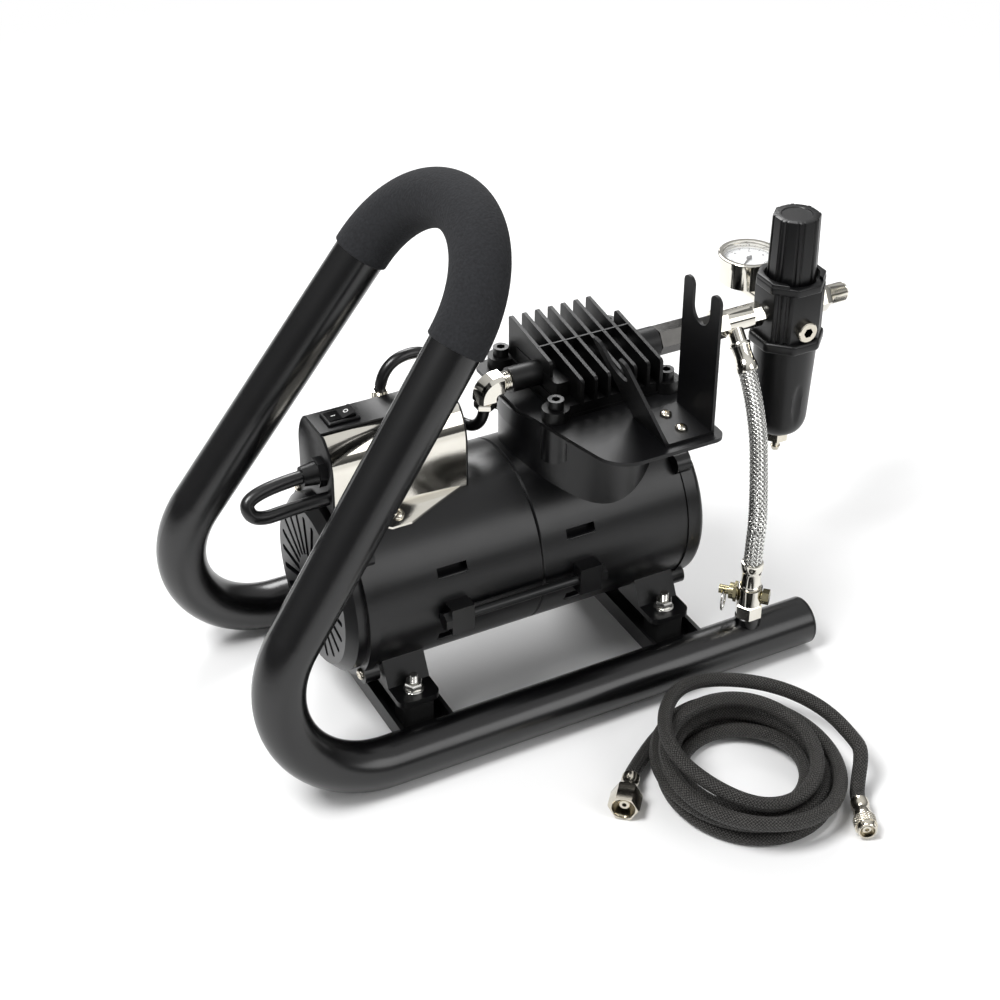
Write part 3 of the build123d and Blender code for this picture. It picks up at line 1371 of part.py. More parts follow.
with BuildPart() as drain_stem:
    stem_z = bowl_z - drain_h - drain_stem_out
    flange_z = bowl_z + bowl_wall + knob_gap
    with Locations((reg_x, 0, stem_z)):
        Cylinder(drain_stem_d / 2, flange_z - stem_z, align=(Align.CENTER, Align.CENTER, Align.MIN))
        Cone(
            drain_stem_d / 2,
            drain_stem_d / 2 + barb_out,
            barb_h,
            align=(Align.CENTER, Align.CENTER, Align.MIN),
        )
    with Locations((reg_x, 0, flange_z)):
        Cylinder(drain_flange_d / 2, drain_flange_t, align=(Align.CENTER, Align.CENTER, Align.MIN))
drain_stem.part.label = "drain_stem"
export_step(drain_stem.part, "parts/drain_stem.step")

with BuildPart() as port_plug:
    plug_face = Plane(origin=(reg_x, -reg_w / 2, gauge_port_z), x_dir=(1, 0, 0), z_dir=(0, -1, 0))
    with BuildSketch(plug_face):
        Circle(plug_flange_d / 2)
    extrude(amount=plug_flange_t)
    chamfer(port_plug.edges().group_by(Axis.Y)[0], length=0.6)
    with BuildSketch(plug_face):
        Circle(port_bore / 2 - fit_gap)
    extrude(amount=-port_reach)
    with BuildSketch(plug_face.offset(plug_flange_t)):
        RegularPolygon(across(plug_socket), 6)
    extrude(amount=-plug_flange_t, mode=Mode.SUBTRACT)
port_plug.part.label = "port_plug"
export_step(port_plug.part, "parts/port_plug.step")

with BuildPart() as gauge_elbow:
    rear_face = Plane(origin=(reg_x, reg_w / 2, gauge_port_z), x_dir=(1, 0, 0), z_dir=(0, 1, 0))
    with BuildSketch(rear_face):
        Circle(port_bore / 2 - fit_gap)
    extrude(amount=-port_reach)
    with BuildSketch(rear_face):
        RegularPolygon(across(gauge_stem_hex), 6)
    extrude(amount=gauge_stem_hex_l)
    with BuildSketch(rear_face):
        Circle(gauge_stem_d / 2)
    extrude(amount=gauge_y - reg_w / 2)
    with Locations((reg_x, gauge_y, gauge_port_z)):
        Sphere(gauge_stem_d / 2)
        Cylinder(gauge_stem_d / 2, gauge_z - gauge_port_z, align=(Align.CENTER, Align.CENTER, Align.MIN))
gauge_elbow.part.label = "gauge_elbow"
export_step(gauge_elbow.part, "parts/gauge_elbow.step")

lens_r = gauge_d / 2 - gauge_wall
dial_r = lens_r - gauge_ledge
dial_z = gauge_face_z - dial_drop - dial_t
lens_z = gauge_face_z - lens_drop - lens_t
with BuildPart() as gauge_case:
    with Locations((reg_x, gauge_y, gauge_z)):
        Cylinder(gauge_d / 2, gauge_h, align=(Align.CENTER, Align.CENTER, Align.MIN))
    with Locations((reg_x, gauge_y, gauge_face_z)):
        Cylinder(gauge_d / 2 + gauge_lip, gauge_lip_h, align=(Align.CENTER, Align.CENTER, Align.MAX))
    fillet(gauge_case.edges().group_by(Axis.Z)[-1], radius=gauge_lip)
    with Locations((reg_x, gauge_y, gauge_z + gauge_wall)):
        Cylinder(
            dial_r - gauge_ledge, gauge_h, align=(Align.CENTER, Align.CENTER, Align.MIN), mode=Mode.SUBTRACT
        )
    with Locations((reg_x, gauge_y, dial_z)):
        Cylinder(dial_r, gauge_h, align=(Align.CENTER, Align.CENTER, Align.MIN), mode=Mode.SUBTRACT)
    with Locations((reg_x, gauge_y, lens_z)):
        Cylinder(lens_r, lens_t, align=(Align.CENTER, Align.CENTER, Align.MIN), mode=Mode.SUBTRACT)
gauge_case.part.label = "gauge_case"
export_step(gauge_case.part, "parts/gauge_case.step")

with BuildPart() as gauge_dial:
    with Locations((reg_x, gauge_y, dial_z)):
        Cylinder(dial_r - fit_gap, dial_t, align=(Align.CENTER, Align.CENTER, Align.MIN))
        Cylinder(pin_d / 2 + running_gap, dial_t * 4, mode=Mode.SUBTRACT)
gauge_dial.part.label = "gauge_dial"
export_step(gauge_dial.part, "parts/gauge_dial.step")

with BuildPart() as gauge_needle:
    needle_z = dial_z + dial_t + needle_gap
    with BuildSketch(Plane(origin=(reg_x, gauge_y, needle_z))):
        with Locations(Location((0, 0, 0), (0, 0, needle_turn))):
            Polygon(
                (-needle_tail, -needle_root_w / 2),
                (needle_l, -needle_tip_w / 2),
                (needle_l, needle_tip_w / 2),
                (-needle_tail, needle_root_w / 2),
                align=None,
            )
    extrude(amount=needle_t)
    with Locations((reg_x, gauge_y, needle_z)):
        Cylinder(needle_hub_d / 2, needle_hub_h, align=(Align.CENTER, Align.CENTER, Align.MIN))
        Cylinder(pin_d / 2, needle_gap + dial_t, align=(Align.CENTER, Align.CENTER, Align.MAX))
gauge_needle.part.label = "gauge_needle"
export_step(gauge_needle.part, "parts/gauge_needle.step")

with BuildPart() as gauge_lens:
    with Locations((reg_x, gauge_y, lens_z)):
        Cylinder(lens_r - fit_gap, lens_t, align=(Align.CENTER, Align.CENTER, Align.MIN))
gauge_lens.part.label = "gauge_lens"
export_step(gauge_lens.part, "parts/gauge_lens.step")

with BuildPart() as outlet_nipple:
    outlet_face = Plane(origin=(reg_x + reg_w / 2, 0, line_z), x_dir=(0, 1, 0), z_dir=(1, 0, 0))
    with BuildSketch(outlet_face):
        Circle(nipple_thread_d / 2)
    extrude(amount=nipple_end_x - reg_x - reg_w / 2)
    chamfer(outlet_nipple.edges().group_by(Axis.X)[-1], length=0.8)
    with BuildSketch(outlet_face):
        RegularPolygon(across(nipple_hex), 6)
    extrude(amount=nipple_hex_l)
    with BuildSketch(outlet_face):
        Circle(port_bore / 2 - fit_gap)
    extrude(amount=-port_reach)
    with BuildSketch(outlet_face.offset(-port_reach)):
        Circle(nipple_bore / 2)
    extrude(amount=nipple_end_x, mode=Mode.SUBTRACT)
outlet_nipple.part.label = "outlet_nipple"
export_step(outlet_nipple.part, "parts/outlet_nipple.step")


def ease(share):
    # Smooth step from 0 to 1.
    held = min(max(share, 0), 1)
    return held * held * (3 - 2 * held)


def coil_point(turn):
    # Centre of the hose after so many turns: inwards on the floor, outwards one layer up, then the top layer.
    angle = radians(coil_start - 360 * turn)
    over = turn - 2 * coil_layer_turns
    if over <= 0:
        inward = min(turn, -over) / coil_layer_turns
        radius = coil_outer_r - (coil_outer_r - coil_inner_r) * inward
    else:
        crossed = coil_cross_at + coil_cross_turns
        radius = coil_outer_r - (coil_outer_r - coil_top_r) * ease((over - coil_cross_at) / coil_cross_turns)
        radius += coil_pitch * max(over - crossed, 0)
        left_over = coil_exit_r - coil_top_r - coil_pitch * (coil_top_turns - crossed)
        radius += left_over * ease((over - coil_exit_at) / (coil_top_turns - coil_exit_at))
    layer = ease((turn - coil_layer_turns) / coil_rise + 0.5) + ease((over + 0.05) / 0.32)
    layer += ease((over - coil_hump[0]) / 0.2) * ease((coil_hump[1] - over) / 0.2)
    lean = ease((over - 0.05) / 0.4) * ease((coil_top_turns - over) / 0.4) * (1 + sin(angle)) / 2
    height = air_hose_d / 2 + coil_lift * layer + coil_lean * lean
    return Vector(coil_x + radius * cos(angle), coil_y + coil_stretch * radius * sin(angle), height)


def coil_way(turn):
    return (coil_point(turn + 0.01) - coil_point(turn - 0.01)).normalized()


coil_turns = 2 * coil_layer_turns + coil_top_turns
coil_steps = round(8 * coil_turns)
left_way = Vector(cos(radians(hose_end_turn)), sin(radians(hose_end_turn)), 0)
left_tip = Vector(*hose_end_left, coil_nut_hex / 2)
right_way = Vector(cos(radians(hose_end_right_turn)), sin(radians(hose_end_right_turn)), 0)
right_tip = Vector(*hose_end_right, small_nut_d / 2) - right_way * small_nut_l
right_tail = right_tip - right_way * coil_ferrule_l
stations = [(left_tip + left_way * coil_ferrule_l, left_way)]
stations += [
    (coil_point(coil_turns * i / coil_steps), coil_way(coil_turns * i / coil_steps)) for i in range(coil_steps + 1)
]
stations += [(right_tail, right_way)]

with BuildPart() as air_hose:
    with BuildLine() as hose_path:
        Line(left_tip, stations[0][0])
        for (start, start_way), (end, end_way) in zip(stations, stations[1:]):
            knot, knot_way = biarc_knot(start, start_way, end, end_way)
            TangentArc(start, knot, tangent=start_way)
            TangentArc(knot, end, tangent=knot_way)
        Line(right_tail, right_tip)
    with BuildSketch(Plane(origin=left_tip, z_dir=left_way)):
        Circle(air_hose_d / 2)
    sweep()
air_hose.part.label = "air_hose"
export_step(air_hose.part, "parts/air_hose.step")
hose_wire = hose_path.wire()
hose_spots = [hose_wire.position_at(i / 800) for i in range(801)]
near_steps = int(800 * 3 * air_hose_d / hose_wire.length)
hose_gap = min(
    (hose_spots[i] - hose_spots[j]).length for i in range(801) for j in range(i + near_steps, 801)
)
print("coil self gap", round(hose_gap - air_hose_d, 2), "length", round(hose_wire.length, 1))

with BuildPart() as hose_end_nut:
    nut_plane = Plane(origin=left_tip, x_dir=(0, 0, 1), z_dir=-left_way)
    with BuildSketch(nut_plane):
        Circle(coil_ferrule_d / 2)
        Circle(air_hose_d / 2 + fit_gap, mode=Mode.SUBTRACT)
    extrude(amount=-coil_ferrule_l)
    with BuildSketch(nut_plane):
        RegularPolygon(across(coil_nut_hex), 6, rotation=30)
    extrude(amount=coil_nut_l)
    with BuildSketch(nut_plane.offset(coil_nut_l)):
        Circle(nipple_thread_d / 2 + stud_gap)
    extrude(amount=-(coil_nut_l - 3), mode=Mode.SUBTRACT)
hose_end_nut.part.label = "hose_end_nut"
export_step(hose_end_nut.part, "parts/hose_end_nut.step")

with BuildPart() as hose_end_small:
    small_plane = Plane(origin=right_tip, x_dir=(0, 0, 1), z_dir=right_way)
    with BuildSketch(small_plane):
        Circle(coil_ferrule_d / 2)
        Circle(air_hose_d / 2 + fit_gap, mode=Mode.SUBTRACT)
    extrude(amount=-coil_ferrule_l)
    with BuildSketch(small_plane):
        Circle(small_nut_d / 2)
    extrude(amount=small_nut_l)
    with BuildSketch(small_plane.offset(small_nut_l)):
        Circle(small_nut_d * 0.35)
    extrude(amount=-(small_nut_l - 3), mode=Mode.SUBTRACT)
hose_end_small.part.label = "hose_end_small"
export_step(hose_end_small.part, "parts/hose_end_small.step")
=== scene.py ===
from math import cos, pi, radians, sin

import bmesh
import bpy
from mathutils import Matrix, Vector


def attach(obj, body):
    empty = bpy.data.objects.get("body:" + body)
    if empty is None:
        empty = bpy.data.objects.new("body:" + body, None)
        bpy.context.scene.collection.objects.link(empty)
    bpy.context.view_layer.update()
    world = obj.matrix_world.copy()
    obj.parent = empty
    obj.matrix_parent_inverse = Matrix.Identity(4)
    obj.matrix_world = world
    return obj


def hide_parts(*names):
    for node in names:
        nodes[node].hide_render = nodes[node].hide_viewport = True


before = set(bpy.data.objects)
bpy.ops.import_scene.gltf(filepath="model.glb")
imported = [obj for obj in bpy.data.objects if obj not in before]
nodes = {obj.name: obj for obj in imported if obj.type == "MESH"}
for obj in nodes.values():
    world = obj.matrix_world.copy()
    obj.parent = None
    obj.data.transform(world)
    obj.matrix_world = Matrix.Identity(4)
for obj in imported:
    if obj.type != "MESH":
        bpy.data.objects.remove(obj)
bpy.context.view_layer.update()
scene = bpy.context.scene


def toLinear(hexColour):
    channels = [int(hexColour[i : i + 2], 16) / 255 for i in (1, 3, 5)]
    return [c / 12.92 if c <= 0.04045 else ((c + 0.055) / 1.055) ** 2.4 for c in channels] + [1.0]


# links holds what goes into each socket, another node's output or a plain number
def addNode(tree, kind, links=None, **values):
    node = tree.nodes.new(kind)
    for key, value in values.items():
        if key in node.inputs:
            node.inputs[key].default_value = value
        else:
            setattr(node, key, value)
    for socket, source in (links or {}).items():
        if isinstance(source, (int, float)):
            node.inputs[socket].default_value = source
        else:
            tree.links.new(source, node.inputs[socket])
    return node


def newMaterial(name, **values):
    material = bpy.data.materials.new(name)
    material.use_nodes = True
    shader = material.node_tree.nodes["Principled BSDF"]
    for socket, value in values.items():
        shader.inputs[socket].default_value = value
    return material, material.node_tree, shader


# cloud and grit are the sizes of the colour patches and of the surface grain, in millimetres
def grainy(name, dark, light, roughness, spread, cloud, grit, bump, **values):
    material, tree, shader = newMaterial(name, **values)
    place = addNode(tree, "ShaderNodeTexCoord").outputs["Object"]
    patches = addNode(tree, "ShaderNodeTexNoise", {"Vector": place}, Scale=1000 / cloud, Detail=6.0)
    colour = addNode(tree, "ShaderNodeMix", {"Factor": patches.outputs["Fac"]}, data_type="RGBA")
    colour.inputs["A"].default_value = toLinear(dark)
    colour.inputs["B"].default_value = toLinear(light)
    tree.links.new(colour.outputs["Result"], shader.inputs["Base Color"])
    limits = {"To Min": roughness - spread, "To Max": roughness + spread}
    rough = addNode(tree, "ShaderNodeMapRange", {"Value": patches.outputs["Fac"], **limits})
    tree.links.new(rough.outputs["Result"], shader.inputs["Roughness"])
    grain = addNode(tree, "ShaderNodeTexNoise", {"Vector": place}, Scale=1000 / grit, Detail=3.0)
    relief = addNode(tree, "ShaderNodeBump", {"Height": grain.outputs["Fac"]}, Strength=bump, Distance=0.0006)
    tree.links.new(relief.outputs["Normal"], shader.inputs["Normal"])
    return material


# blacks: sprayed, cast or moulded, all nearly as dark, so the sheen and the grain tell them apart
lowSheen = {"Specular IOR Level": 0.36}
midSheen = {"Specular IOR Level": 0.45}
wetSheen = {"Specular IOR Level": 0.6}
# baked satin paint on tube: long soft bands and hardly any grain
satinPaint = grainy("satin_black_paint", "#030304", "#060607", 0.25, 0.02, 25, 0.55, 0.02, **wetSheen)
# powder coat on folded sheet: an even, dull sheen with a fine orange peel
powderCoat = grainy("black_powder_coat", "#040405", "#08080a", 0.44, 0.03, 17, 0.67, 0.1, **lowSheen)
# enamel on the motor's housings: a broad highlight with soft edges
motorEnamel = grainy("black_enamel", "#040405", "#08080a", 0.32, 0.03, 17, 0.6, 0.06, **midSheen)
# paint over die-cast alloy: the casting's skin breaks the sheen
castAlloy = grainy("painted_cast_alloy", "#030303", "#070708", 0.42, 0.04, 11, 0.6, 0.12, **lowSheen)
# moulded nylon: satin, with the mould's fine spark grain
blackPlastic = grainy("black_nylon", "#050506", "#0a0a0b", 0.34, 0.04, 11, 0.45, 0.06, **lowSheen)
# polished mould: the rocker's clear, narrow highlights
glossPlastic = grainy("gloss_black_plastic", "#050506", "#0a0a0b", 0.16, 0.03, 7, 0.4, 0.02)
# moulded rubber: dull, with a greyish bloom
softRubber = grainy("black_rubber", "#080809", "#121212", 0.7, 0.08, 5, 0.45, 0.2, **lowSheen)
# extruded PVC: smooth, with one bright line along each bend
cableJacket = grainy("cable_jacket", "#050506", "#0b0b0c", 0.3, 0.04, 5, 0.45, 0.04)
# black oxide on steel bolts and rods: oily, only partly metallic
blackOxide = grainy("black_oxide_steel", "#0a0a0b", "#161617", 0.34, 0.05, 4, 0.4, 0.05, Metallic=0.3)
# black nickel plate: dark, but its facets still mirror the room
blackNickel = grainy("black_nickel", "#3c3b3a", "#4c4b49", 0.14, 0.03, 5, 0.4, 0.02, Metallic=1.0)
# closed-cell foam: no shine at all, with pores drawn at 1.6 mm so that they show
foam = grainy("charcoal_foam", "#08080a", "#2c2d30", 0.95, 0.04, 1.6, 1.6, 1.0, **lowSheen)
# bright metals: a slightly warm plate, from mirror to spun
chrome = grainy("polished_chrome", "#dad6cb", "#e8e5dd", 0.06, 0.02, 11, 0.5, 0.01, Metallic=1.0)
nickel = grainy("warm_nickel", "#c8c1b2", "#dcd7cb", 0.15, 0.04, 4.5, 0.4, 0.03, Metallic=1.0)
zinc = grainy("bright_zinc", "#c4c3bf", "#dad9d5", 0.18, 0.05, 4, 0.4, 0.05, Metallic=1.0)
brass = grainy("pale_brass", "#a99f7c", "#c3bb9c", 0.2, 0.05, 4, 0.4, 0.05, Metallic=1.0)
steel = grainy("ground_steel", "#a8a8a8", "#bdbdbd", 0.3, 0.06, 4, 0.4, 0.08, Metallic=1.0)
wovenSteel = grainy("woven_stainless", "#cfcfcb", "#e6e6e3", 0.2, 0.05, 2.5, 0.33, 0.05, Metallic=1.0)
# dull hose wall, seen only between the braid's ribbons
hoseLining = grainy("dark_hose_lining", "#2c2b29", "#3a3937", 0.6, 0.06, 3.3, 0.4, 0.1)
# coated card and its inks: flat, with no shine
dialCard = grainy("printed_dial", "#eef0f2", "#f7f8f9", 0.6, 0.05, 3.3, 0.4, 0.02)
pointerPaint = grainy("pointer_paint", "#0c0c0c", "#161616", 0.5, 0.05, 3.3, 0.4, 0.02)
whiteInk = grainy("white_ink", "#e4e4e2", "#f2f2f0", 0.5, 0.05, 3.3, 0.4, 0.02)
# clear acrylic: only its reflections show
lensGlass = newMaterial("clear_lens", Roughness=0.03, IOR=1.49, Alpha=0.12)[0]

finishes = {
    satinPaint: "tank_tube tank_boss",
    powderCoat: "cross_brackets holder_plate airbrush_holder",
    motorEnamel: "motor_feet motor_shell crankcase fan_cover crankcase_cover",
    castAlloy: "valve_plate cylinder_head",
    blackPlastic: "tank_caps switch_frame switch_bezel cable_gland cooling_fan regulator_body collar_ring "
    "regulator_knob filter_bowl",
    glossPlastic: "switch_rocker",
    softRubber: "mount_bushes",
    cableJacket: "motor_lead pressure_hose",
    foam: "handle_grip",
    chrome: "switch_shell port_elbow box_fitting outlet_tee tank_fitting outlet_nipple hose_ferrules "
    "gauge_elbow gauge_case",
    nickel: "port_plug hose_end_nut hose_end_small drain_body drain_stem",
    zinc: "mount_studs mount_nuts pan_screws pull_ring",
    blackOxide: "tie_rods head_bolts",
    blackNickel: "check_valve",
    brass: "safety_valve relief_stem fitting_plug regulator_spindle",
    steel: "motor_shaft tank_hose air_hose",
    dialCard: "gauge_dial",
    pointerPaint: "gauge_needle",
    lensGlass: "gauge_lens",
}
for material, names in finishes.items():
    for name in names.split():
        mesh = nodes[name].data
        mesh.materials.clear()
        mesh.materials.append(material)


# places along a smooth curve through a route's points
def splinePoints(name, points, steps):
    curve = bpy.data.curves.new(name, "CURVE")
    curve.dimensions = "3D"
    spline = curve.splines.new("NURBS")
    spline.points.add(len(points) - 1)
    for point, place in zip(spline.points, points):
        point.co = (*place, 1)
    spline.order_u = 3
    spline.use_endpoint_u = True
    spline.resolution_u = steps
    guide = bpy.data.objects.new(name, curve)
    line = bpy.data.meshes.new_from_object(guide)
    places = [vertex.co.copy() for vertex in line.vertices]
    bpy.data.objects.remove(guide)
    bpy.data.meshes.remove(line)
    return places


# closes a shape's seams, turns its faces outwards and hands it to its body
def addPiece(name, form, material, body, slot, *replaced):
    mesh = bpy.data.meshes.new(name)
    bmesh.ops.remove_doubles(form, verts=form.verts, dist=0.0000005)
    bmesh.ops.recalc_face_normals(form, faces=form.faces)
    form.to_mesh(mesh)
    form.free()
    mesh.materials.append(material)
    mesh.shade_smooth()
    mesh.set_sharp_from_angle(angle=radians(32))
    piece = bpy.data.objects.new(name, mesh)
    scene.collection.objects.link(piece)
    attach(piece, body)
    if replaced:
        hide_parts(*replaced)
    return piece


# walls between rings of equal count, closed at the ends where asked
def skin(form, rings, capStart=True, capEnd=True):
    for ring, following in zip(rings, rings[1:]):
        for k in range(len(ring)):
            n = (k + 1) % len(ring)
            form.faces.new((ring[k], ring[n], following[n], following[k]))
    if capStart:
        form.faces.new(rings[0][::-1])
    if capEnd:
        form.faces.new(rings[-1])


# a turned shape: a circle is extruded and scaled from station to station, then set in its place
def lathe(form, place, profile, sides, turn=0.0, capStart=True, capEnd=True):
    along, radius = profile[0]
    bpy.ops.object.select_all(action="DESELECT")
    bpy.ops.mesh.primitive_circle_add(
        vertices=sides, radius=radius, fill_type="NGON" if capStart else "NOTHING", location=(0, 0, along),
        rotation=(0, 0, turn - pi / 2),
    )
    blank = bpy.context.object
    bpy.ops.object.mode_set(mode="EDIT")
    for nextAlong, nextRadius in profile[1:]:
        bpy.ops.mesh.extrude_region_move(TRANSFORM_OT_translate={"value": (0, 0, nextAlong - along)})
        ratio = nextRadius / radius
        bpy.ops.transform.resize(value=(ratio, ratio, 1), center_override=(0, 0, nextAlong))
        along, radius = nextAlong, nextRadius
    if capStart and not capEnd:
        bpy.ops.mesh.delete(type="ONLY_FACE")
    if capEnd and not capStart:
        bpy.ops.mesh.edge_face_add()
    bpy.ops.object.mode_set(mode="OBJECT")
    blank.data.transform(place @ blank.matrix_world)
    form.from_mesh(blank.data)
    bpy.data.objects.remove(blank)


# a screw thread that fades out at both ends
def thread(form, place, screw):
    sides = 36
    rowsPerTurn = 10
    pitch = screw["pitch"]
    rows = round((screw["end"] - screw["start"]) / pitch * rowsPerTurn)
    rings = []
    for i in range(rows + 1):
        along = screw["start"] + (screw["end"] - screw["start"]) * i / rows
        fade = min(1, (rows - i) / 8, i / 4 + 0.2)  # over the last eight rows and the first few
        ring = []
        for k in range(sides):
            phase = (along / pitch - k / sides) % 1
            groove = fade * (1 - abs(2 * phase - 1)) + 1 - fade
            radius = screw["radius"] - screw["depth"] * groove
            turn = 2 * pi * k / sides
            ring.append(form.verts.new(place @ Vector((radius * cos(turn), radius * sin(turn), along))))
        rings.append(ring)
    skin(form, rings, True, screw.get("cap", True))


# a place whose own Z axis points the given way
def facing(origin, way):
    return Matrix.Translation(origin) @ Vector(way).to_track_quat("Z", "Y").to_matrix().to_4x4()


def hexProfile(flats, start, end, edge):
    corner = flats / 3**0.5
    return [(start, corner * 0.93), (start + edge, corner), (end - edge, corner), (end, corner * 0.93)]


# position, direction, two sideways axes and distance so far, at each place of a path
def pathFrames(places):
    side = (places[1] - places[0]).orthogonal().normalized()
    frames = []
    length = 0.0
    for i, place in enumerate(places):
        ahead = (places[min(i + 1, len(places) - 1)] - places[max(i - 1, 0)]).normalized()
        side = (side - ahead * side.dot(ahead)).normalized()
        if i:
            length += (place - places[i - 1]).length
        frames.append((place, ahead, side, ahead.cross(side), length))
    return frames


def tubeAlong(name, places, radius, sides, material, slot, *replaced, swell=None):
    form = bmesh.new()
    wrap = form.loops.layers.uv.new("along")
    rings = []
    frames = pathFrames(places)
    for place, ahead, side, up, length in frames:
        size = radius * (swell(length, frames[-1][4]) if swell else 1)
        turns = [2 * pi * k / sides for k in range(sides)]
        rings.append([form.verts.new(place + (side * cos(t) + up * sin(t)) * size) for t in turns])
    for i in range(len(rings) - 1):
        for k in range(sides):
            n = (k + 1) % sides
            face = form.faces.new((rings[i][k], rings[i][n], rings[i + 1][n], rings[i + 1][k]))
            near, far = frames[i][4], frames[i + 1][4]
            for loop, (along, step) in zip(face.loops, ((near, k), (near, k + 1), (far, k + 1), (far, k))):
                loop[wrap].uv = (along, step / sides)
    form.faces.new(rings[0][::-1])
    form.faces.new(rings[-1])
    return addPiece(name, form, material, "frame", slot, *replaced)


# plaited textile: two sets of strands cross over and under along the hose's own UV; pitch and depth in metres
def braid(name, dark, light, strands, pitch, depth, **values):
    material, tree, shader = newMaterial(name, **values)
    wrap = addNode(tree, "ShaderNodeUVMap", uv_map="along")
    parts = addNode(tree, "ShaderNodeSeparateXYZ", {"Vector": wrap.outputs["UV"]})
    along = addNode(tree, "ShaderNodeMath", {0: parts.outputs["X"], 1: pitch}, operation="DIVIDE")
    around = addNode(tree, "ShaderNodeMath", {0: parts.outputs["Y"], 1: strands}, operation="MULTIPLY")
    right = addNode(tree, "ShaderNodeMath", {0: along.outputs[0], 1: around.outputs[0]}, operation="ADD")
    left = addNode(tree, "ShaderNodeMath", {0: along.outputs[0], 1: around.outputs[0]}, operation="SUBTRACT")
    waves = []
    cells = []
    for lay in (right, left):
        turn = addNode(tree, "ShaderNodeMath", {0: lay.outputs[0], 1: pi}, operation="MULTIPLY")
        wave = addNode(tree, "ShaderNodeMath", {0: turn.outputs[0]}, operation="SINE")
        waves.append(addNode(tree, "ShaderNodeMath", {0: wave.outputs[0]}, operation="ABSOLUTE"))
        cells.append(addNode(tree, "ShaderNodeMath", {0: lay.outputs[0]}, operation="FLOOR"))
    cell = addNode(tree, "ShaderNodeMath", {0: cells[0].outputs[0], 1: cells[1].outputs[0]}, operation="ADD")
    over = addNode(tree, "ShaderNodeMath", {0: cell.outputs[0], 1: 2.0}, operation="FLOORED_MODULO")
    height = addNode(
        tree, "ShaderNodeMix", {"Factor": over.outputs[0], "A": waves[0].outputs[0], "B": waves[1].outputs[0]}
    )
    place = addNode(tree, "ShaderNodeTexCoord").outputs["Object"]
    speck = addNode(tree, "ShaderNodeTexNoise", {"Vector": place}, Scale=900.0, Detail=3.0)  # 1.1 mm
    # colour follows the plait's height: the near black low down is painted shade in the grooves between
    # strands, the speckled pale grey on the crowns is the yarn
    peak = addNode(tree, "ShaderNodeMath", {0: height.outputs["Result"], 1: 3.0}, operation="POWER")
    speckled = {0: peak.outputs[0], 1: speck.outputs["Fac"]}
    grooveShadeMix = addNode(tree, "ShaderNodeMath", speckled, operation="MULTIPLY")
    colour = addNode(tree, "ShaderNodeMix", {"Factor": grooveShadeMix.outputs[0]}, data_type="RGBA")
    colour.inputs["A"].default_value = toLinear(dark)
    colour.inputs["B"].default_value = toLinear(light)
    tree.links.new(colour.outputs["Result"], shader.inputs["Base Color"])
    crowns = {"Height": height.outputs["Result"]}
    relief = addNode(tree, "ShaderNodeBump", crowns, Strength=1.0, Distance=depth)
    tree.links.new(relief.outputs["Normal"], shader.inputs["Normal"])
    return material


# yarn plaited over rubber: matt, on a plait of 2.1 mm, pale grey yarn on each crown and near black where the
# strands dip, which is painted shade in the plait's grooves
yarnSheen = {"Roughness": 0.5, "Specular IOR Level": 0.3}
textileBraid = braid("textile_braid", "#020202", "#6d6b68", 14, 0.0021, 0.0006, **yarnSheen)

grip = {
    "apex": (0.384185, 0.0, 0.927959), "foot": (-0.276036, 0.0898, 0.0159), "bend": 0.06425, "taper": 4.56,
    "straight": 0.003, "radius": 0.0177, "steps": 72, "sides": 64, "round": 0.0014, "endSize": 0.945,
}
apex = Vector(grip["apex"])
footX, footY, footZ = grip["foot"]
frontWay = (Vector((footX, -footY, footZ)) - apex).normalized()
rearWay = (Vector((footX, footY, footZ)) - apex).normalized()
middle = (frontWay + rearWay).normalized()
centre = apex + middle * grip["bend"] / sin(radians(grip["taper"]))
swing = radians(90 - grip["taper"])
gripPlaces = []
for i in range(grip["steps"] + 1):
    turn = swing * (2 * i / grip["steps"] - 1)
    gripPlaces.append(centre + (Vector((0, 1, 0)) * sin(turn) - middle * cos(turn)) * grip["bend"])
tails = []
for end, way in ((gripPlaces[0], frontWay), (gripPlaces[-1], rearWay)):
    tails.append([end + way * grip["straight"] * share for share in (1, 0.8, 0.6, 0.3)])
gripPlaces = tails[0] + gripPlaces + tails[1][::-1]


def roundedEnds(length, total):
    edge = min(length, total - length) / grip["round"]
    return 1.0 if edge >= 1 else grip["endSize"] + (1 - grip["endSize"]) * (1 - (1 - edge) ** 2) ** 0.5


foamGrip = tubeAlong(
    "foam_grip", gripPlaces, grip["radius"], grip["sides"], foam, "foam", "handle_grip", swell=roundedEnds
)
print("grip done")

cables = [
    {
        "name": "motor_cable", "node": "motor_lead", "radius": 0.0042,
        "points": [
            (-0.149, -0.008, 0.179), (-0.199, -0.008, 0.179), (-0.199, -0.016, 0.162),
            (-0.169, -0.014, 0.163), (-0.145, -0.014, 0.163),
        ],
    },
    {
        "name": "pressure_line", "node": "pressure_hose", "radius": 0.0036,
        "points": [
            (-0.037, 0, 0.1968), (-0.037, 0, 0.170), (-0.0522, 0.0216, 0.1716), (-0.056, 0.027, 0.222),
            (-0.097, 0.024, 0.222), (-0.097, 0.024, 0.196),
        ],
    },
]
for cable in cables:
    route = splinePoints(cable["name"], [Vector(point) for point in cable["points"]], 16)
    tubeAlong(cable["name"], route, cable["radius"], 28, cableJacket, "cable", cable["node"])

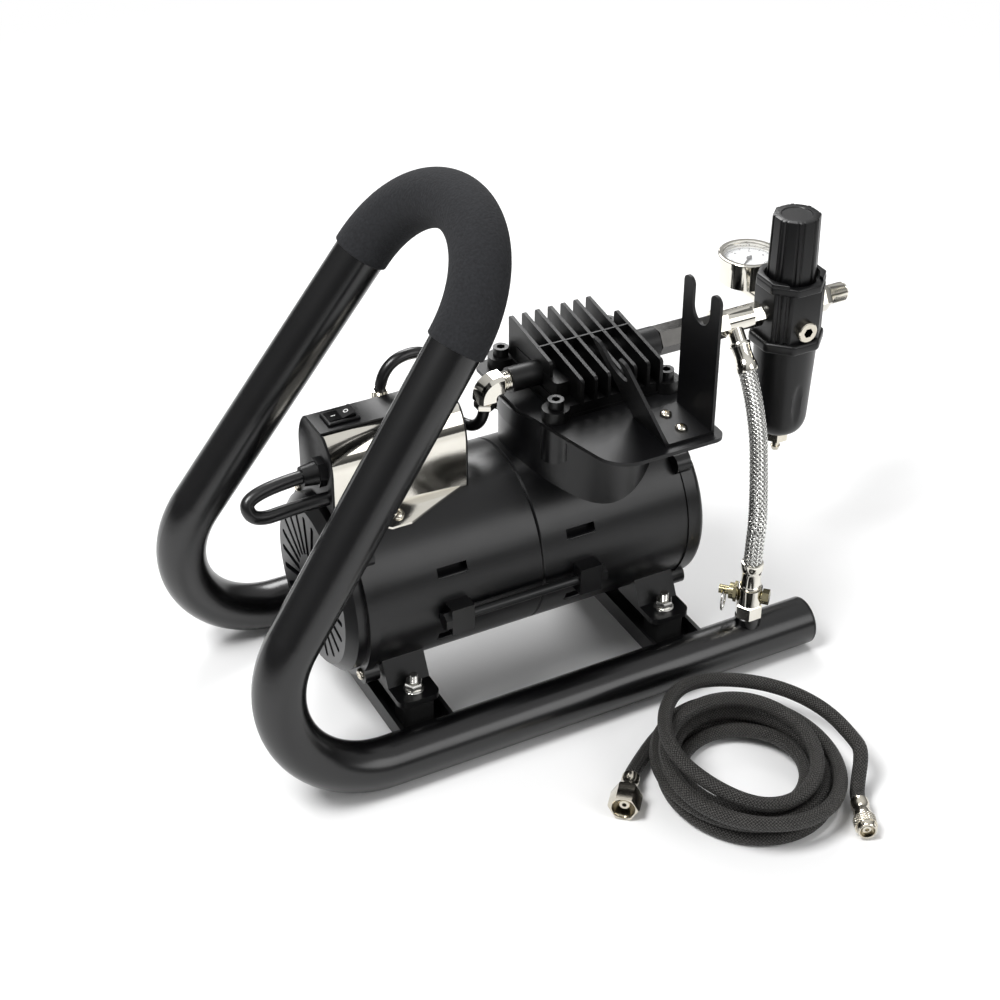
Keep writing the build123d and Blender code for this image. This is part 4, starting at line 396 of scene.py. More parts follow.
tankHose = {
    "points": [
        (0.142, -0.009642, 0.19051), (0.142, -0.03664, 0.15834), (0.112, -0.0878, 0.1138),
        (0.109, -0.0898, 0.0868), (0.109, -0.0898, 0.0588),
    ],
    "lining": 0.0053, "radius": 0.0057, "strands": 10, "turn": 0.03, "width": 0.00155, "weave": 0.00028,
    "ribbon": ((-1, -0.7), (-0.55, 0.3), (0, 0.5), (0.55, 0.3), (1, -0.7), (0, -1.2)), "slant": (0.77, 0.64),
}
route = splinePoints("tank_hose_route", [Vector(point) for point in tankHose["points"]], 90)
tubeAlong("tank_hose_lining", route, tankHose["lining"], 28, hoseLining, "steel_braid")
form = bmesh.new()
frames = pathFrames(route)
for hand in (1, -1):  # flat ribbons, wound both ways over and under each other
    for strand in range(tankHose["strands"]):
        rows = []
        for place, ahead, side, up, length in frames:
            turn = hand * 2 * pi * length / tankHose["turn"] + 2 * pi * strand / tankHose["strands"]
            over = hand * cos(pi * length * 2 * tankHose["strands"] / tankHose["turn"])
            row = []
            for offset, crown in tankHose["ribbon"]:
                spread = offset * tankHose["width"] / 2
                around = turn + spread * tankHose["slant"][0] / tankHose["radius"]
                out = tankHose["radius"] + tankHose["weave"] * (over + crown)
                shift = ahead * (-hand * spread * tankHose["slant"][1])
                row.append(form.verts.new(place + (side * cos(around) + up * sin(around)) * out + shift))
            rows.append(row)
        skin(form, rows)
addPiece("tank_hose_braid", form, wovenSteel, "frame", "steel_braid", "tank_hose")
print("hoses done")

# ferrules: profiles here and below are pairs of distance along the axis and radius
ferrule = {
    "profile": [
        (0, 0.0055), (0.0002, 0.0068), (0.0012, 0.00722), (0.0022, 0.0071), (0.0028, 0.0066),
        (0.007, 0.0063), (0.0115, 0.0064), (0.0135, 0.0068), (0.0145, 0.00722), (0.019, 0.00724),
        (0.0198, 0.0069), (0.02, 0.0061), (0.016, 0.006),
    ],
    "places": [
        ((0.142, -0.009642, 0.19051), (0, -0.64279, -0.76604)), ((0.109, -0.0898, 0.0588), (0, 0, 1)),
    ],
}
form = bmesh.new()
for origin, way in ferrule["places"]:
    lathe(form, facing(origin, way), ferrule["profile"], 40)
addPiece("crimped_ferrules", form, chrome, "frame", "chrome", "hose_ferrules")

outlet = {
    "at": (0.206, 0, 0.202), "flats": 0.017, "hexEnd": 0.009, "edge": 0.0011,
    "screw": {
        "radius": 0.00658, "depth": 0.0008, "pitch": 0.00134, "start": 0.0092, "end": 0.0238, "cap": False,
    },
    "mouth": [(0.0238, 0.00578), (0.024, 0.0055), (0.024, 0.0034), (0.0236, 0.003), (0.014, 0.003)],
}
form = bmesh.new()
place = facing(outlet["at"], (1, 0, 0))
lathe(form, place, hexProfile(outlet["flats"], 0, outlet["hexEnd"], outlet["edge"]), 6)
thread(form, place, outlet["screw"])
lathe(form, place, outlet["mouth"], 36, capStart=False)
addPiece("outlet_fitting", form, chrome, "frame", "chrome", "outlet_nipple")

# elbow: a chamfered block swept round a quarter turn, with a threaded port and a hex below
elbow = {
    "end": -0.021, "axis": 0.202, "half": 0.0066, "edge": 0.0022, "bend": 0.0072, "turn": (-0.0298, 0.1948),
    "foot": 0.1918, "neck": 0.0048, "soft": 0.0008, "endSize": 0.9, "steps": 6,
    "spigot": [(-0.009, 0.0046), (-0.0002, 0.0048), (0, 0.0058)],
    "screw": {"radius": 0.0064, "depth": 0.0008, "pitch": 0.00134, "start": 0, "end": 0.0052},
    "nut": [(0, 0.0052), *hexProfile(0.0125, 0.0004, 0.0048, 0.0007), (0.0048, 0.0037), (0.0006, 0.0037)],
}
form = bmesh.new()
port = facing((elbow["end"], 0, elbow["axis"]), (-1, 0, 0))
lathe(form, port, elbow["spigot"], 36)
thread(form, port, elbow["screw"])
half = elbow["half"]
corner = half - elbow["edge"]
block = [(half, corner), (corner, half), (-corner, half), (-half, corner)]
block += [(-a, -b) for a, b in block]
neckX = elbow["end"] - elbow["neck"]
dropX = elbow["turn"][0] - elbow["bend"]
stations = [(neckX, elbow["axis"], 0, elbow["endSize"]), (neckX - elbow["soft"], elbow["axis"], 0, 1)]
for k in range(elbow["steps"] + 1):
    turn = radians(90 * k / elbow["steps"])
    x, z = elbow["turn"][0] - elbow["bend"] * sin(turn), elbow["turn"][1] + elbow["bend"] * cos(turn)
    stations.append((x, z, turn, 1))
stations.append((dropX, elbow["foot"] + elbow["soft"], pi / 2, 1))
stations.append((dropX, elbow["foot"], pi / 2, elbow["endSize"]))
rings = []
for x, z, turn, size in stations:
    out = Vector((-sin(turn), 0, cos(turn)))
    rings.append([form.verts.new(Vector((x, 0, z)) + (out * a + Vector((0, b, 0))) * size) for a, b in block])
skin(form, rings)
lathe(form, facing((dropX, 0, elbow["foot"]), (0, 0, -1)), elbow["nut"], 6, pi / 6)
addPiece("forged_elbow", form, chrome, "frame", "chrome", "port_elbow")

cover = {
    "left": -0.1493, "right": -0.0597, "inset": 0.0009, "middle": 0.004, "half": 0.02535, "topHalf": 0.0122,
    "top": 0.2028, "spring": 0.181, "power": 1.7, "sheet": 0.0008, "axis": 0.093, "steps": 14, "drum": 0.0604,
    "drumFlange": 0.0645, "capSteps": 12,
    "cap": ((0, -0.0006), (0.0003, -0.0001), (0.0008, 0.0004), (0.0014, 0.0004)),
}


# one rounded upper edge of the switch box, from its flat top down to its side
def shoulder(side, grow):
    line = []
    for k in range(cover["steps"] + 1):
        turn = radians(90 * k / cover["steps"])
        out = (cover["half"] - cover["topHalf"]) * sin(turn) ** (2 / cover["power"]) + grow * sin(turn)
        rise = (cover["top"] - cover["spring"]) * abs(cos(turn)) ** (2 / cover["power"]) + grow * cos(turn)
        line.append((cover["middle"] + side * (cover["topHalf"] + out), cover["spring"] + rise))
    return line


def drumHeight(y, radius):
    return cover["axis"] + (radius**2 - y**2) ** 0.5


form = bmesh.new()
for side in (-1, 1):
    outerY = cover["middle"] + side * cover["half"]
    innerY = cover["middle"] + side * (cover["half"] - cover["sheet"])
    foot = drumHeight(outerY, cover["drum"])
    outer = [*shoulder(side, 0), (outerY, foot)]
    inner = [*shoulder(side, -cover["sheet"]), (innerY, foot)]
    ends = (cover["left"] + cover["inset"], cover["right"] - cover["inset"])
    skin(form, [[form.verts.new((x, y, z)) for y, z in outer + inner[::-1]] for x in ends])
addPiece("polished_shoulders", form, chrome, "frame", "chrome")
form = bmesh.new()
for x, way, radius in ((cover["left"], 1, cover["drumFlange"]), (cover["right"], -1, cover["drum"])):
    rings = []
    for along, grow in cover["cap"]:
        front, rear = shoulder(-1, grow), shoulder(1, grow)
        steps = cover["capSteps"]
        low = [cover["middle"] + cover["half"] * (1 - 2 * k / steps) for k in range(steps + 1)]
        outline = front[::-1] + rear + [(y, drumHeight(y, radius)) for y in low]
        rings.append([form.verts.new((x + way * along, y, z)) for y, z in outline])
    skin(form, rings)
addPiece("box_end_caps", form, blackPlastic, "frame", "black_plastic")
print("switch box done")

# regulator: heights are pairs of bottom and top
regulator = {
    "x": 0.186, "body": (0.1830, 0.2200), "width": 0.04, "chamfer": 0.009, "groove": (0.0024, 0.002),
    "grooveOff": 0.0026, "edge": 0.0005, "ring": (0.177, 0.1845), "ringFlats": 0.047, "ringEdge": 0.0022,
    "socket": 0.021, "socketHeights": (0.172, 0.181),
    "post": [(0.2195, 0.012), (0.252, 0.012), (0.252, 0.0044), (0.241, 0.0044)],
}
collarRing = {
    "heights": (0.2188, 0.2248), "flats": 0.043, "edge": 0.0014, "bore": 0.0182,
    "boreHeights": (0.221, 0.241), "tabs": (0.2236, 0.2268), "tabFlats": 0.0424, "tabEdge": 0.0009,
    "tabBore": 0.0183, "tabGap": (0.026, 0.1, 0.02), "tabGapHeight": 0.221,
}


# rounds every edge of a block
def soften(block, width, segments):
    bpy.context.view_layer.objects.active = block
    rounding = block.modifiers.new("soften", "BEVEL")
    rounding.width = width
    rounding.segments = segments
    bpy.ops.object.modifier_apply(modifier="soften")


def cut(block, cutter):
    bite = block.modifiers.new("cut", "BOOLEAN")
    bite.object = cutter
    bpy.context.view_layer.objects.active = block
    bpy.ops.object.modifier_apply(modifier="cut")
    bpy.data.objects.remove(cutter)


# an upright cylinder or prism on the regulator's axis
def pillar(sides, radius, low, high, turn=0.0):
    bpy.ops.object.select_all(action="DESELECT")
    place = (regulator["x"], 0, (low + high) / 2)
    bpy.ops.mesh.primitive_cylinder_add(
        vertices=sides, radius=radius, depth=high - low, location=place, rotation=(0, 0, turn)
    )
    bpy.ops.object.transform_apply(location=True, rotation=True, scale=True)
    return bpy.context.object


def slab(size, place, turn=0.0):
    bpy.ops.object.select_all(action="DESELECT")
    bpy.ops.mesh.primitive_cube_add(size=1, location=place, rotation=(0, 0, turn), scale=size)
    bpy.ops.object.transform_apply(location=True, rotation=True, scale=True)
    return bpy.context.object


def eightSided(flats, heights, edge):
    block = pillar(8, flats / 2 / cos(pi / 8), *heights, pi / 8)
    soften(block, edge, 5)
    return block


def gather(form, block):
    form.from_mesh(block.data)
    bpy.data.objects.remove(block)


# body: a square block with four broad chamfers, each with two grooves
low, high = regulator["body"]
width = regulator["width"]
casting = slab((width, width, high - low), (regulator["x"], 0, (low + high) / 2))
bpy.ops.object.mode_set(mode="EDIT")
bpy.ops.mesh.select_mode(type="EDGE")
bpy.ops.mesh.select_all(action="DESELECT")
bpy.ops.object.mode_set(mode="OBJECT")
for edge in casting.data.edges:  # the four upright edges
    ends = [casting.data.vertices[v].co for v in edge.vertices]
    edge.select = abs(ends[0].z - ends[1].z) > width / 2
bpy.ops.object.mode_set(mode="EDIT")
bpy.ops.mesh.bevel(offset=regulator["chamfer"], segments=1, affect="EDGES")
bpy.ops.mesh.select_mode(type="VERT")
bpy.ops.object.mode_set(mode="OBJECT")
reach = (width - regulator["chamfer"]) / 2**0.5
for k in range(4):
    turn = radians(45 + 90 * k)
    for off in (-regulator["grooveOff"], regulator["grooveOff"]):
        x, y = reach * cos(turn) - off * sin(turn), reach * sin(turn) + off * cos(turn)
        spot = (regulator["x"] + x, y, (low + high) / 2)
        cut(casting, slab((*regulator["groove"], width * 2), spot, turn))
soften(casting, regulator["edge"], 2)
ring = eightSided(regulator["ringFlats"], regulator["ring"], regulator["ringEdge"])
cut(ring, pillar(96, regulator["socket"], *regulator["socketHeights"]))
form = bmesh.new()
gather(form, casting)
gather(form, ring)
lathe(form, Matrix.Translation((regulator["x"], 0, 0)), regulator["post"], 48)
addPiece("cast_regulator", form, blackPlastic, "frame", "black_plastic", "regulator_body")

# collar: an eight-sided ring with a raised tab on its left and on its right
collar = eightSided(collarRing["flats"], collarRing["heights"], collarRing["edge"])
cut(collar, pillar(96, collarRing["bore"], *collarRing["boreHeights"]))
tabs = eightSided(collarRing["tabFlats"], collarRing["tabs"], collarRing["tabEdge"])
cut(tabs, pillar(96, collarRing["tabBore"], *collarRing["boreHeights"]))
cut(tabs, slab(collarRing["tabGap"], (regulator["x"], 0, collarRing["tabGapHeight"])))
form = bmesh.new()
gather(form, collar)
gather(form, tabs)
addPiece("panel_collar", form, blackPlastic, "frame", "black_plastic", "collar_ring")

knob = {
    "low": 0.222, "high": 0.268, "half": 0.0155, "corner": 0.01645, "taper": 0.045, "sides": 240,
    "grooveDepth": 0.0009, "grooveTurn": 6.5, "grooveWide": 3.2,
    "hollow": ((0.2638, 0.0044), (0.2564, 0.0044), (0.2564, 0.0124), (0.222, 0.0124)),
    "skirt": ((0.222, 0.0004), (0.2224, 0), (0.267, 0), (0.2677, 0.0003), (0.268, 0.001)),
    "recess": ((0.268, 0.0102), (0.2675, 0.0098)),
}


# one level of the knob: an octagon with two grooves beside each corner, or a plain circle
def knobLevel(form, height, radius=None, shrink=0.0):
    level = []
    for k in range(knob["sides"]):
        turn = 360 * k / knob["sides"]
        reach = radius
        if radius is None:
            fromCorner = abs(turn % 45 - 22.5)
            flat = knob["half"] / cos(radians((turn + 22.5) % 45 - 22.5))
            size = 1 - knob["taper"] * (height - knob["low"]) / (knob["high"] - knob["low"])
            dent = max(0, 1 - abs(fromCorner - knob["grooveTurn"]) / knob["grooveWide"]) * knob["grooveDepth"]
            reach = min(flat, knob["corner"]) * size - dent - shrink
        x, y = reach * cos(radians(turn)), reach * sin(radians(turn))
        level.append(form.verts.new((regulator["x"] + x, y, height)))
    return level


form = bmesh.new()
levels = [knobLevel(form, height, radius) for height, radius in knob["hollow"]]
levels += [knobLevel(form, height, shrink=shrink) for height, shrink in knob["skirt"]]
levels += [knobLevel(form, height, radius) for height, radius in knob["recess"]]
skin(form, levels)
addPiece("grooved_knob", form, blackPlastic, "knob", "black_plastic", "regulator_knob")

bowl = {
    "x": 0.186, "top": 0.1805, "ring": 0.1765, "low": 0.1225, "foot": 0.1085, "seat": 0.106,
    "topRadius": 0.0209, "lowRadius": 0.0188, "footIn": 0.009, "footSteps": 8, "drain": 0.0052,
    "wall": 0.0023, "sides": 96, "rows": 36, "boss": ((0.1081, 0.0084), (0.1064, 0.0084), (0.106, 0.008)),
    "scoops": 4, "scoopHeight": 0.0155, "scoopWidth": 0.0034, "scoopDepth": 0.0016, "scoopAt": 0.1365,
}
wide, narrow = bowl["topRadius"], bowl["lowRadius"]
outside = [(bowl["top"], wide), (bowl["ring"], wide)]
for k in range(1, bowl["rows"] + 1):
    share = k / bowl["rows"]
    outside.append((bowl["ring"] + (bowl["low"] - bowl["ring"]) * share, wide + (narrow - wide) * share))
for k in range(1, bowl["footSteps"] + 1):  # rounded foot
    turn = radians(90 * k / bowl["footSteps"])
    height = bowl["low"] - (bowl["low"] - bowl["foot"]) * sin(turn)
    outside.append((height, narrow - bowl["footIn"] * (1 - cos(turn))))
outside += bowl["boss"]
floorHeight = bowl["foot"] + bowl["wall"]
inside = [(bowl["seat"], bowl["drain"]), (floorHeight, bowl["drain"]), (floorHeight, narrow - bowl["footIn"])]
inside.append((bowl["low"], narrow - bowl["wall"]))
inside += [(bowl[level], wide - bowl["wall"]) for level in ("ring", "top")]
form = bmesh.new()
rings = []
for k, (height, radius) in enumerate(outside + inside):
    ring = []
    for n in range(bowl["sides"]):
        turn = 2 * pi * n / bowl["sides"]
        off = (turn * bowl["scoops"] / (2 * pi) + 0.5) % 1 - 0.5  # shares of a scoop's spacing
        sideways = off * 2 * pi / bowl["scoops"] * radius / bowl["scoopWidth"]
        upright = (height - bowl["scoopAt"]) / bowl["scoopHeight"]
        dent = max(0, 1 - sideways**2 - upright**2) ** 0.75 if k < len(outside) else 0
        reach = radius - bowl["scoopDepth"] * dent
        ring.append(form.verts.new((bowl["x"] + reach * cos(turn), reach * sin(turn), height)))
    rings.append(ring)
skin(form, [*rings, rings[0]], False, False)
addPiece("moulded_bowl", form, blackPlastic, "frame", "black_plastic", "filter_bowl")

stud = {
    "spots": [(x, y) for x in (-0.12, 0.06) for y in (-0.064, 0.064)],
    "head": hexProfile(0.01, 0.014, 0.018, 0.0006),
    "shank": [(0.018, 0.0029), (0.0405, 0.0029), (0.041, 0.0025)],
    "screw": {"radius": 0.003, "depth": 0.00055, "pitch": 0.001, "start": 0.041, "end": 0.0535},
    "flange": [
        (0.042, 0.0064), (0.0421, 0.0065), (0.0428, 0.0065), (0.0435, 0.0055), (0.0437, 0.0032),
        (0.042, 0.0032), (0.042, 0.0064),
    ],
    "nut": [*hexProfile(0.01, 0.0434, 0.0485, 0.0007), (0.0484, 0.0032), (0.0475, 0.0031)],
}
form = bmesh.new()
for x, y in stud["spots"]:
    place = facing((x, y, 0), (0, 0, 1))
    lathe(form, place, stud["head"], 6)
    lathe(form, place, stud["shank"], 24)
    thread(form, place, stud["screw"])
addPiece("threaded_studs", form, zinc, "frame", "zinc", "mount_studs")
form = bmesh.new()
for x, y in stud["spots"]:
    place = facing((x, y, 0), (0, 0, 1))
    lathe(form, place, stud["flange"], 36, capStart=False, capEnd=False)
    lathe(form, place, stud["nut"], 6)
addPiece("flange_nuts", form, zinc, "frame", "zinc", "mount_nuts")
print("fittings done")

# vent lips: a low bead along each slot's lower edge
lip = {
    "places": (-0.088, 0.001), "length": 0.021, "axis": 0.093, "drum": 0.06, "angles": (20.1, -27.2),
    "width": 0.0009, "height": 0.0011, "sides": 14,
    "stations": ((-0.5, 0.15), (-0.47, 0.6), (-0.4, 1), (0, 1), (0.4, 1), (0.47, 0.6), (0.5, 0.15)),
}
bow = []
for k in range(lip["sides"]):
    turn = 2 * pi * k / lip["sides"]
    bow.append((cos(turn) * lip["width"], sin(turn) * lip["height"]))
form = bmesh.new()
for x in lip["places"]:
    for side in (-1, 1):
        for angle in lip["angles"]:
            out = Vector((0, side * cos(radians(angle)), sin(radians(angle))))
            across = Vector((0, -side * sin(radians(angle)), cos(radians(angle))))
            rings = []
            for share, size in lip["stations"]:
                middle = Vector((x + share * lip["length"], 0, lip["axis"])) + out * lip["drum"]
                rings.append([form.verts.new(middle + (across * a + out * b) * size) for a, b in bow])
            skin(form, rings)
addPiece("pressed_vent_lips", form, motorEnamel, "frame", "motor_paint")

# screws: one crossed head is made and copied to every place
screw = {
    "height": 0.0026, "slot": 0.0011, "reach": 0.0043, "depth": 0.0016, "slotFoot": (0.45, 0.8), "twist": 0.6,
    "crown": [
        (-0.0002, 0.0037), (0, 0.0038), (0.0008, 0.0038), (0.0016, 0.0034), (0.0022, 0.0026),
        (0.00255, 0.0014), (0.0026, 0.0004),
    ],
    "shank": [(-0.009, 0.0015), (-0.0084, 0.0019), (-0.0001, 0.0019)],
    "holder": ((0.054, -0.0803, 0.190), (0.054, -0.06275, 0.190)), "boxX": -0.1105,
    "boxTabs": ((-0.0275, 0.053327), (0.0355, 0.048371)), "boxSheet": 0.0012, "axis": 0.093,
    "lugs": 0.0438406, "covers": ((-0.146, -1), (0.084, 1)),
}
form = bmesh.new()
lathe(form, Matrix(), screw["crown"], 40)
headMesh = bpy.data.meshes.new("screw_head")
bmesh.ops.recalc_face_normals(form, faces=form.faces)
form.to_mesh(headMesh)
form.free()
head = bpy.data.objects.new("screw_head", headMesh)
scene.collection.objects.link(head)
for turn in (0, 90):
    bpy.ops.mesh.primitive_cube_add(size=1, location=(0, 0, screw["height"]), rotation=(0, 0, radians(turn)))
    cutter = bpy.context.object
    cutter.scale = (screw["reach"], screw["slot"], screw["depth"] * 2)
    for vertex in cutter.data.vertices:  # the slot narrows towards its floor
        if vertex.co.z < 0:
            vertex.co.x *= screw["slotFoot"][0]
            vertex.co.y *= screw["slotFoot"][1]
    cut(head, cutter)
screwPlaces = [(origin, (0, 0, 1)) for origin in screw["holder"]]
for y, rise in screw["boxTabs"]:
    out = Vector((0, y, rise)).normalized()
    screwPlaces.append((Vector((screw["boxX"], y, screw["axis"] + rise)) + out * screw["boxSheet"], out))
for x, way in screw["covers"]:
    for y in (-screw["lugs"], screw["lugs"]):
        screwPlaces += [((x, y, screw["axis"] + z), (way, 0, 0)) for z in (-screw["lugs"], screw["lugs"])]
form = bmesh.new()
for k, (origin, way) in enumerate(screwPlaces):
    copy = head.data.copy()
    copy.transform(facing(origin, way) @ Matrix.Rotation(screw["twist"] * k, 4, "Z"))
    form.from_mesh(copy)
    bpy.data.meshes.remove(copy)
    lathe(form, facing(origin, way), screw["shank"], 16)
bpy.data.objects.remove(head)
addPiece("cross_head_screws", form, nickel, "frame", "zinc", "pan_screws")
print("screws done")

# dial print: ticks, an arc and plain figures, lying on the dial's face
dial = {
    "centre": (0.186, 0.048), "height": 0.21403, "zero": 218, "sweep": 270, "outer": 0.0162, "ticks": 50,
    "major": (0.0026, 0.00022), "minor": (0.0014, 0.00011), "ink": 0.00006, "arc": (0.01635, 0.01665),
    "arcSteps": 60, "figures": (0, 2, 4, 6, 8, 10), "figureSize": 0.0036, "figureRadius": 0.0116,
}
dialFace = Vector((*dial["centre"], dial["height"]))
form = bmesh.new()
for k in range(dial["ticks"] + 1):
    turn = radians(dial["zero"] - dial["sweep"] * k / dial["ticks"])
    length, half = dial["minor"] if k % 5 else dial["major"]
    inner = dial["outer"] - length
    out = Vector((cos(turn), sin(turn), 0))
    across = Vector((-sin(turn), cos(turn), 0))
    corners = ((inner, -half), (dial["outer"], -half), (dial["outer"], half), (inner, half))
    low = [form.verts.new(dialFace + out * r + across * w) for r, w in corners]
    high = [form.verts.new(v.co + Vector((0, 0, dial["ink"]))) for v in low]
    skin(form, [low, high])
rings = []
arcIn, arcOut = dial["arc"]
corners = ((arcIn, 0), (arcOut, 0), (arcOut, dial["ink"]), (arcIn, dial["ink"]))
for k in range(dial["arcSteps"] + 1):
    turn = radians(dial["zero"] - dial["sweep"] * k / dial["arcSteps"])
    out = Vector((cos(turn), sin(turn), 0))
    rings.append([form.verts.new(dialFace + out * r + Vector((0, 0, rise))) for r, rise in corners])
skin(form, rings)
for figure in dial["figures"]:
    turn = radians(dial["zero"] - dial["sweep"] * figure / 10)
    bpy.ops.object.text_add(location=(0, 0, 0))
    label = bpy.context.object
    label.data.body = str(figure)
    label.data.size = dial["figureSize"]
    label.data.align_x = "CENTER"
    label.data.align_y = "CENTER"
    label.data.extrude = dial["ink"] / 2
    figureMesh = bpy.data.meshes.new_from_object(label)
    off = Vector((cos(turn) * dial["figureRadius"], sin(turn) * dial["figureRadius"], dial["ink"] / 2))
    figureMesh.transform(Matrix.Translation(dialFace + off))
    form.from_mesh(figureMesh)
    bpy.data.meshes.remove(figureMesh)
    bpy.data.objects.remove(label)
addPiece("dial_print", form, pointerPaint, "frame", "needle_red")

# rocker marks: a bar on its level half and a ring on its tilted half
rocker = {
    "bar": ((-0.0014, -0.0003), (0.0014, -0.0003), (0.0014, 0.0003), (-0.0014, 0.0003)),
    "barSpot": (-0.13608, 0.004, 0.20687), "ink": 0.00008,
    "ringSpot": (-0.12776, 0.004, 0.20804), "tilt": -16,
    "ring": [(0, 0.0010), (0.0001, 0.0010), (0.0001, 0.0016), (0, 0.0016), (0, 0.0010)],
}
form = bmesh.new()
low = [form.verts.new(Vector(rocker["barSpot"]) + Vector((x, y, 0))) for x, y in rocker["bar"]]
high = [form.verts.new(v.co + Vector((0, 0, rocker["ink"]))) for v in low]
skin(form, [low, high])
tilted = Matrix.Translation(rocker["ringSpot"]) @ Matrix.Rotation(radians(rocker["tilt"]), 4, "Y")
lathe(form, tilted, rocker["ring"], 32, capStart=False, capEnd=False)
addPiece("rocker_marks", form, whiteInk, "rocker", "dial_white")
print("marks done")

# loose hose: two flat layers, inwards and out again, then a top layer that crosses over them and leaves
coil = {
    "centre": (0.041, -0.190), "stretch": 1.12, "outer": 0.057, "inner": 0.0345, "top": 0.039, "exit": 0.0685,
    "layerTurns": 2.25, "topTurns": 1.933, "crossAt": 0.25, "crossTurns": 0.4, "pitch": 0.0105, "exitAt": 1.5,
    "hump": (1.15, 1.75), "lift": 0.0098, "lean": 0.006, "rise": 0.5, "start": 140.0, "diameter": 0.009,
    "climb": (-0.05, 0.32), "humpEase": 0.2, "leanAt": 0.05, "leanEase": 0.4, "perTurn": 18, "sides": 24,
    "ferrule": 0.014, "leftTip": (-0.031, -0.174, 0.0085), "leftTurn": 50.0, "leftShares": (0, 0.5, 1, 1.3),
    "rightTip": (0.078, -0.267, 0.007), "rightTurn": 245.0, "rightShares": (1.6, 1, 0.5, 0), "nut": 0.012,
    "leave": 0.012,
}


def ease(share):
    held = min(max(share, 0), 1)
    return held * held * (3 - 2 * held)


def coilPoint(turn):
    angle = radians(coil["start"] - 360 * turn)
    over = turn - 2 * coil["layerTurns"]
    if over <= 0:
        radius = coil["outer"] - (coil["outer"] - coil["inner"]) * min(turn, -over) / coil["layerTurns"]
    else:
        crossed = coil["crossAt"] + coil["crossTurns"]
        inwards = ease((over - coil["crossAt"]) / coil["crossTurns"])
        radius = coil["outer"] - (coil["outer"] - coil["top"]) * inwards
        radius += coil["pitch"] * max(over - crossed, 0)
        leftOver = coil["exit"] - coil["top"] - coil["pitch"] * (coil["topTurns"] - crossed)
        radius += leftOver * ease((over - coil["exitAt"]) / (coil["topTurns"] - coil["exitAt"]))
    layer = ease((turn - coil["layerTurns"]) / coil["rise"] + 0.5)
    layer += ease((over - coil["climb"][0]) / coil["climb"][1])
    humpStart, humpEnd = coil["hump"]
    layer += ease((over - humpStart) / coil["humpEase"]) * ease((humpEnd - over) / coil["humpEase"])
    lean = ease((over - coil["leanAt"]) / coil["leanEase"])
    lean *= ease((coil["topTurns"] - over) / coil["leanEase"]) * (1 + sin(angle)) / 2
    height = coil["diameter"] / 2 + coil["lift"] * layer + coil["lean"] * lean
    along, across = radius * cos(angle), coil["stretch"] * radius * sin(angle)
    return Vector((coil["centre"][0] + along, coil["centre"][1] + across, height))


turns = 2 * coil["layerTurns"] + coil["topTurns"]
count = round(turns * coil["perTurn"])
leftTip = Vector(coil["leftTip"])
leftWay = Vector((cos(radians(coil["leftTurn"])), sin(radians(coil["leftTurn"])), 0))
rightWay = Vector((cos(radians(coil["rightTurn"])), sin(radians(coil["rightTurn"])), 0))
rightTip = Vector(coil["rightTip"]) - rightWay * coil["nut"]
lastWay = (coilPoint(turns) - coilPoint(turns - 0.01)).normalized()
hoseRoute = [leftTip + leftWay * coil["ferrule"] * share for share in coil["leftShares"]]
hoseRoute += [coilPoint(turns * i / count) for i in range(1, count + 1)]
hoseRoute.append(coilPoint(turns) + lastWay * coil["leave"])
hoseRoute += [rightTip - rightWay * coil["ferrule"] * share for share in coil["rightShares"]]
hosePlaces = splinePoints("hose_route", hoseRoute, 6)
airHose = tubeAlong(
    "braided_air_hose", hosePlaces, coil["diameter"] / 2, coil["sides"], textileBraid, "textile_braid",
    "air_hose",
)

# hose ends: a crimped sleeve on each, then a hexagon nut at the left and a knurled nut at the right
sleeve = [
    (-0.014, 0.0046), (-0.014, 0.0051), (-0.0135, 0.0055), (-0.009, 0.0055), (-0.0085, 0.0052),
    (-0.0045, 0.0052), (-0.004, 0.0055), (0, 0.0055), (0, 0.0046), (-0.014, 0.0046),
]
hexNut = {
    "outside": [(0, 0.0052), *hexProfile(0.017, 0, 0.015, 0.0014)],
    "corner": 0.93 * 0.017 / 3**0.5, "bore": 0.0076, "end": 0.015,
    "cone": [
        (0.015, 0.0076), (0.0147, 0.0072), (0.0140, 0.0070), (0.004, 0.0068), (0.004, 0.0042),
        (0.0105, 0.0036), (0.0112, 0.003), (0.0112, 0.0014), (0.006, 0.0012),
    ],
}


# evenly spaced points round a circle at a height along the place's axis
def circle(place, radius, along, count):
    angles = [2 * pi * k / count for k in range(count)]
    return [place @ Vector((radius * cos(angle), radius * sin(angle), along)) for angle in angles]


form = bmesh.new()
place = facing(leftTip, -leftWay)
lathe(form, place, sleeve, 36, capStart=False, capEnd=False)
lathe(form, place, hexNut["outside"], 6, capEnd=False)
rim = circle(place, hexNut["corner"], hexNut["end"], 6)
bore = circle(place, hexNut["bore"], hexNut["end"], 36)
for k in range(6):  # flat end of the nut, from the hexagon to the round bore
    border = [rim[k], rim[(k + 1) % 6], *[bore[n % 36] for n in range(6 * k + 6, 6 * k - 1, -1)]]
    form.faces.new([form.verts.new(spot) for spot in border])
lathe(form, place, hexNut["cone"], 36, capStart=False)
bigNut = addPiece("hex_swivel_nut", form, nickel, "frame", "chrome", "hose_end_nut")

